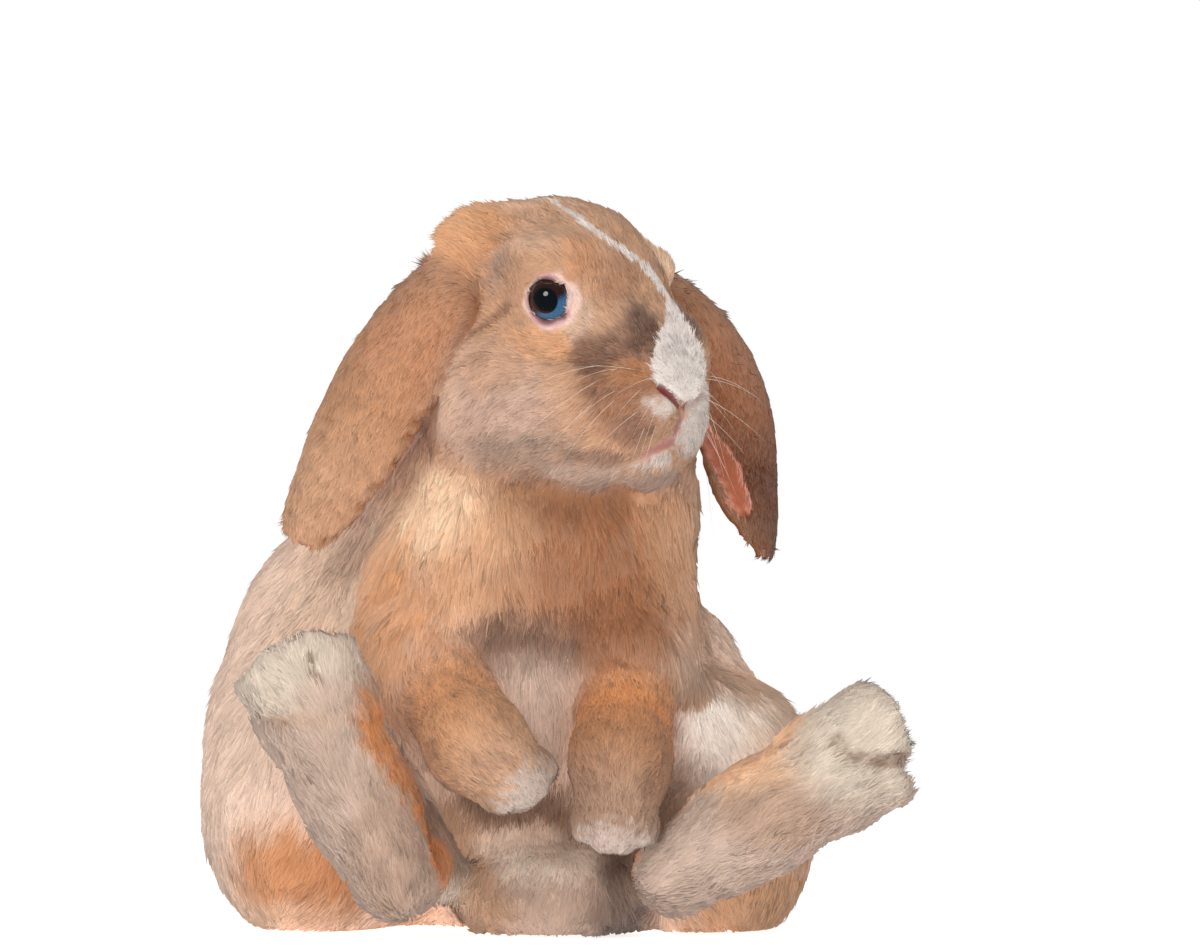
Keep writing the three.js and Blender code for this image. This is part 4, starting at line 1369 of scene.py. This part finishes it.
# The eye by its gaze map, a disc of radius 1 seen along the gaze: a dark pupil, an iris that goes from dark
# brown above, painted shade and reflection of the upper lid, to blue below along a leaning line, with fibres
# of stretched noise, and a dark rim.
def eyeFinish():
    material, nodes, links, shader = nodeSet("rabbitEye")
    gaze = nodes.new("ShaderNodeUVMap")
    gaze.uv_map = "gaze"
    parts = nodes.new("ShaderNodeSeparateXYZ")
    links.new(gaze.outputs[0], parts.inputs[0])
    compute = mathMaker(nodes, links)

    def ramp(value, low, high):
        node = nodes.new("ShaderNodeMapRange")
        node.interpolation_type = "SMOOTHSTEP"
        links.new(value, node.inputs[0])
        node.inputs[1].default_value, node.inputs[2].default_value = low, high
        return node.outputs[0]

    def blendColour(share, a, b):
        node = nodes.new("ShaderNodeMix")
        node.data_type = "RGBA"
        links.new(share, node.inputs[0])
        for socket, value in ((node.inputs[6], a), (node.inputs[7], b)):
            if isinstance(value, np.ndarray):
                socket.default_value = (*value, 1)
            else:
                links.new(value, socket)
        return node.outputs[2]

    x = compute("SUBTRACT", compute("MULTIPLY", parts.outputs[0], 2.0), 1.0)
    y = compute("SUBTRACT", compute("MULTIPLY", parts.outputs[1], 2.0), 1.0)
    away = compute("SQRT", compute("ADD", compute("MULTIPLY", x, x), compute("MULTIPLY", y, y)))
    # Iris fibres: noise that runs quickly round the eye and slowly outwards.
    angle = compute("ARCTAN2", y, x)
    polar = nodes.new("ShaderNodeCombineXYZ")
    links.new(compute("MULTIPLY", angle, 9.0), polar.inputs[0])
    links.new(compute("MULTIPLY", away, 5.0), polar.inputs[1])
    fibre = nodes.new("ShaderNodeTexNoise")
    fibre.inputs["Scale"].default_value = 2.2
    fibre.inputs["Detail"].default_value = 4
    links.new(polar.outputs[0], fibre.inputs["Vector"])
    lean = compute("ADD", compute("SUBTRACT", compute("MULTIPLY", x, 0.55), compute("MULTIPLY", y, 0.95)),
                 compute("MULTIPLY", compute("SUBTRACT", fibre.outputs[0], 0.5), 0.5))
    blue, lidShadeAndReflection = (blendColour(fibre.outputs[0], *(colour(*levels) for levels in eyeLook[name]))
                   for name in ("blue", "lidShadeAndReflection"))
    iris = blendColour(ramp(lean, 0.1, 0.5), lidShadeAndReflection, blue)
    pupil, rim = eyeLook["pupil"], eyeLook["rim"]
    seen = blendColour(ramp(away, pupil - 0.03, pupil + 0.03), colour(*eyeLook["pupilColour"]), iris)
    whole = blendColour(ramp(away, rim - 0.04, rim + 0.05), seen, colour(*eyeLook["rimColour"]))
    links.new(whole, shader.inputs["Base Color"])
    shader.inputs["Roughness"].default_value = 0.04
    shader.inputs["Specular IOR Level"].default_value = 0.2
    shader.inputs["Coat Weight"].default_value = 0.7
    shader.inputs["Coat Roughness"].default_value = 0.03
    return material


# An eyeball: circles round the gaze from front to back, with the cornea bulging a little.
def buildEye(side, material):
    centre, out = eyes[side]
    up, ahead = eyeAxes(out)
    angles = np.linspace(0, np.pi, 34)[1:-1]
    around = np.linspace(0, 2 * np.pi, 49)[:-1]
    handed = np.sign(np.cross(ahead, up) @ out)
    wide = np.cos(around)[:, None] * ahead + handed * np.sin(around)[:, None] * up
    radius = eye["radius"] + eyeLook["bulge"] * smooth(0.8, 0.1, angles)
    along, apart = ((turn(angles) * radius)[:, None, None] for turn in (np.cos, np.sin))
    rings = along * out + apart * wide[None]
    places, faces = ringed(rings, out * radius[0], -out * radius[-1])
    piece = pieceOf("eye_" + side + "_ball", fromHead(places + centre), faces, material)
    spot = places / eye["radius"]
    flat = np.stack([spot @ ahead, spot @ up], 1)
    behind = (spot @ out < 0)[:, None]
    flat = np.where(behind, unit(flat) * (2 - np.linalg.norm(flat, axis=1, keepdims=True)), flat)
    layer = piece.data.uv_layers.new(name="gaze")
    layer.data.foreach_set("uv", (flat[faces.ravel()] / 2 + 0.5).ravel())
    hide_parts("eye_" + side)
    return piece


eyeSurface = eyeFinish()
for side in sides:
    buildEye(side, eyeSurface)
print("eyes done")

# Whiskers.

whiskers = {"eachSide": 14, "length": (28, 60), "radius": 0.1, "droop": 0.35}


# One colour with fine grain, and a glow where it is given.
def plainFinish(name, levels, roughness, glow=0.0):
    material, nodes, links, shader = nodeSet(name)
    shade = nodes.new("ShaderNodeGroup")
    shade.node_tree = coatShade
    shade.inputs["Colour"].default_value = (*colour(*levels), 1)
    shade.inputs["Grain size"].default_value = 0.002
    links.new(shade.outputs["Colour"], shader.inputs["Base Color"])
    shader.inputs["Roughness"].default_value = roughness
    if glow:
        shader.inputs["Emission Color"].default_value = (1, 1, 1, 1)
        shader.inputs["Emission Strength"].default_value = glow
    return material


# A round hair that tapers along a curved line: circles square to the line at each of its places.
def taperedHair(line, radius, around=5):
    tangent = unit(np.gradient(line, axis=0))
    across = unit(np.cross(tangent, (0.31, 0.52, 0.79)))
    over = np.cross(tangent, across)
    turn = np.linspace(0, 2 * np.pi, around + 1)[:-1]
    circle = np.cos(turn)[None, :, None] * across[:, None] + np.sin(turn)[None, :, None] * over[:, None]
    rings = line[:, None] + circle * radius[:, None, None]
    return ringed(rings[1:-1], line[0], line[-1])


# Several closed surfaces as one.
def joined(parts):
    starts = np.cumsum([0] + [len(places) for places, faces in parts])
    return (np.vstack([places for places, faces in parts]),
            np.vstack([faces + start for start, (places, faces) in zip(starts, parts)]))


# Whiskers stand in rows on both whisker pads, and droop by the square of the way along them.
def buildWhiskers():
    rng = np.random.default_rng(41)
    hairs = []
    for s in sides.values():
        for number in range(whiskers["eachSide"]):
            row, column = divmod(number, 4)
            root = np.array([52 - 5 * column, (12 + 2.6 * column) * s, -16 - 5.0 * row + 1.2 * column])
            root = root + rng.normal(size=3) * 0.8
            root = ontoFace([root], (30, 0, -20))[0]
            way = unit(np.array([0.25 - 0.22 * column, s * (0.9 + 0.1 * rng.random()), -0.1 - 0.28 * row]))
            way = unit(way + 0.1 * rng.normal(size=3))
            length = rng.uniform(*whiskers["length"]) * (0.6 + 0.14 * column)
            t = np.linspace(0, 1, 9)[:, None]
            line = root - way * 1.5 + way * t * length
            line = line + np.array([-0.12, 0, -1]) * whiskers["droop"] * length * t**2 * rng.uniform(0.3, 1.0)
            radius = whiskers["radius"] * (1.0 - 0.85 * t[:, 0])
            hairs.append(taperedHair(fromHead(line), radius))
    piece = pieceOf("whiskers", *joined(hairs), plainFinish("rabbitWhisker", (238, 222, 206), 0.4))


buildWhiskers()
print("whiskers done")

# Claws, almost hidden in the fur of the toes.

claw = {"length": 6.5, "inside": 6.2, "radius": 1.3, "hook": 2.0, "around": 8}


# A claw tapers from its root inside a toe, and hooks towards the sole by the square of the way along it.
def clawOn(leg, origin, aside, end):
    t = np.linspace(0, 1, 9)
    reach = end - claw["inside"] + claw["length"] * t
    line = np.column_stack([np.full(9, aside), reach, claw["hook"] * t**2])
    return taperedHair(fromPart(line, origin, leg["axes"]), claw["radius"] * (1 - 0.95 * t), claw["around"])


# One claw at the end of each toe.
def buildClaws():
    claws = []
    for leg in forelegs.values():
        for place in digitPlaces["fore"]:
            end = forelegSize["toeLength"] - 5 * abs(place) + forelegSize["toe"] * 0.9
            claws.append(clawOn(leg, leg["knuckles"], place * forelegSize["spread"] * 1.05, end))
    for leg in hindlegs.values():
        for place, reach in zip(digitPlaces["hind"], leg["digitLengths"]):
            end = leg["length"] * reach + footSize["toe"] * 0.9
            claws.append(clawOn(leg, leg["heel"], place * footSize["spread"], end))
    piece = pieceOf("claws", *joined(claws), plainFinish("rabbitClaw", (96, 78, 66), 0.35))


buildClaws()
print("claws done")

# Floor, lights and camera.

stageLook = {
    "floorSize": 6000, "floorGlow": 0.74, "sky": 0.39, "mirrored": 0.12, "middle": (20, 0, 150),
    "lamps": {  # place, size in metres and watts
        "keyLight": ((-700, -1500, 1100), 0.9, 15.0),
        "fillLight": ((1500, -900, 600), 1.4, 6.0),
        "topLight": ((0, 300, 1700), 1.6, 5.0),
    },
    "eyeHeight": 95, "distance": 1800, "aim": (37.8, 0, 191), "lens": 128.6,
}


# A flat floor, white surroundings that glossy surfaces see as dim, three disc lamps and the camera.
def buildStage():
    scene = bpy.context.scene
    half = stageLook["floorSize"] / 2
    lines = np.linspace(-half, half, 9)
    x, y = np.meshgrid(lines, lines, indexing="ij")
    places = np.stack([x.ravel(), y.ravel(), np.zeros(x.size)], 1) + [0, half / 2, 0]
    cell = np.arange(81).reshape(9, 9)
    faces = np.stack([cell[:-1, :-1], cell[1:, :-1], cell[1:, 1:], cell[:-1, 1:]], -1).reshape(-1, 4)
    finish = plainFinish("paleFloor", (246, 246, 248), 0.5, stageLook["floorGlow"])
    floor = pieceOf("floor", places, faces, finish)
    floor.parent = None
    floor.visible_glossy = False

    world = bpy.data.worlds.new("studio")
    scene.world = world
    world.use_nodes = True
    nodes, links = world.node_tree.nodes, world.node_tree.links
    back = nodes["Background"]
    back.inputs["Color"].default_value = (1, 1, 1, 1)
    path = nodes.new("ShaderNodeLightPath")
    glossy, level = nodes.new("ShaderNodeMapRange"), nodes.new("ShaderNodeMapRange")
    links.new(path.outputs["Is Glossy Ray"], glossy.inputs[0])
    glossy.inputs[3].default_value, glossy.inputs[4].default_value = stageLook["sky"], stageLook["mirrored"]
    links.new(path.outputs["Is Camera Ray"], level.inputs[0])
    links.new(glossy.outputs[0], level.inputs[3])
    level.inputs[4].default_value = 1.0
    links.new(level.outputs[0], back.inputs["Strength"])

    def aimed(thing, place, target):
        thing.location = (np.array(place, float) - shift) * millimetre
        thing.rotation_euler = Vector(np.subtract(target, place)).to_track_quat("-Z", "Y").to_euler()
        scene.collection.objects.link(thing)

    for name, (place, size, power) in stageLook["lamps"].items():
        light = bpy.data.lights.new(name, "AREA")
        light.shape, light.size, light.energy = "DISK", size, power
        lamp = bpy.data.objects.new(name, light)
        aimed(lamp, place, stageLook["middle"])
        lamp.visible_glossy = name != "fillLight"

    camera = bpy.data.cameras.new("camera")
    camera.lens, camera.sensor_width = stageLook["lens"], 36
    camera.clip_start, camera.clip_end = 0.05, 50
    view = bpy.data.objects.new("camera", camera)
    aim = stageLook["aim"]
    aimed(view, (aim[0], -stageLook["distance"], stageLook["eyeHeight"]), aim)
    scene.camera = view
    scene.view_settings.view_transform = "Standard"


buildStage()
print("stage done")
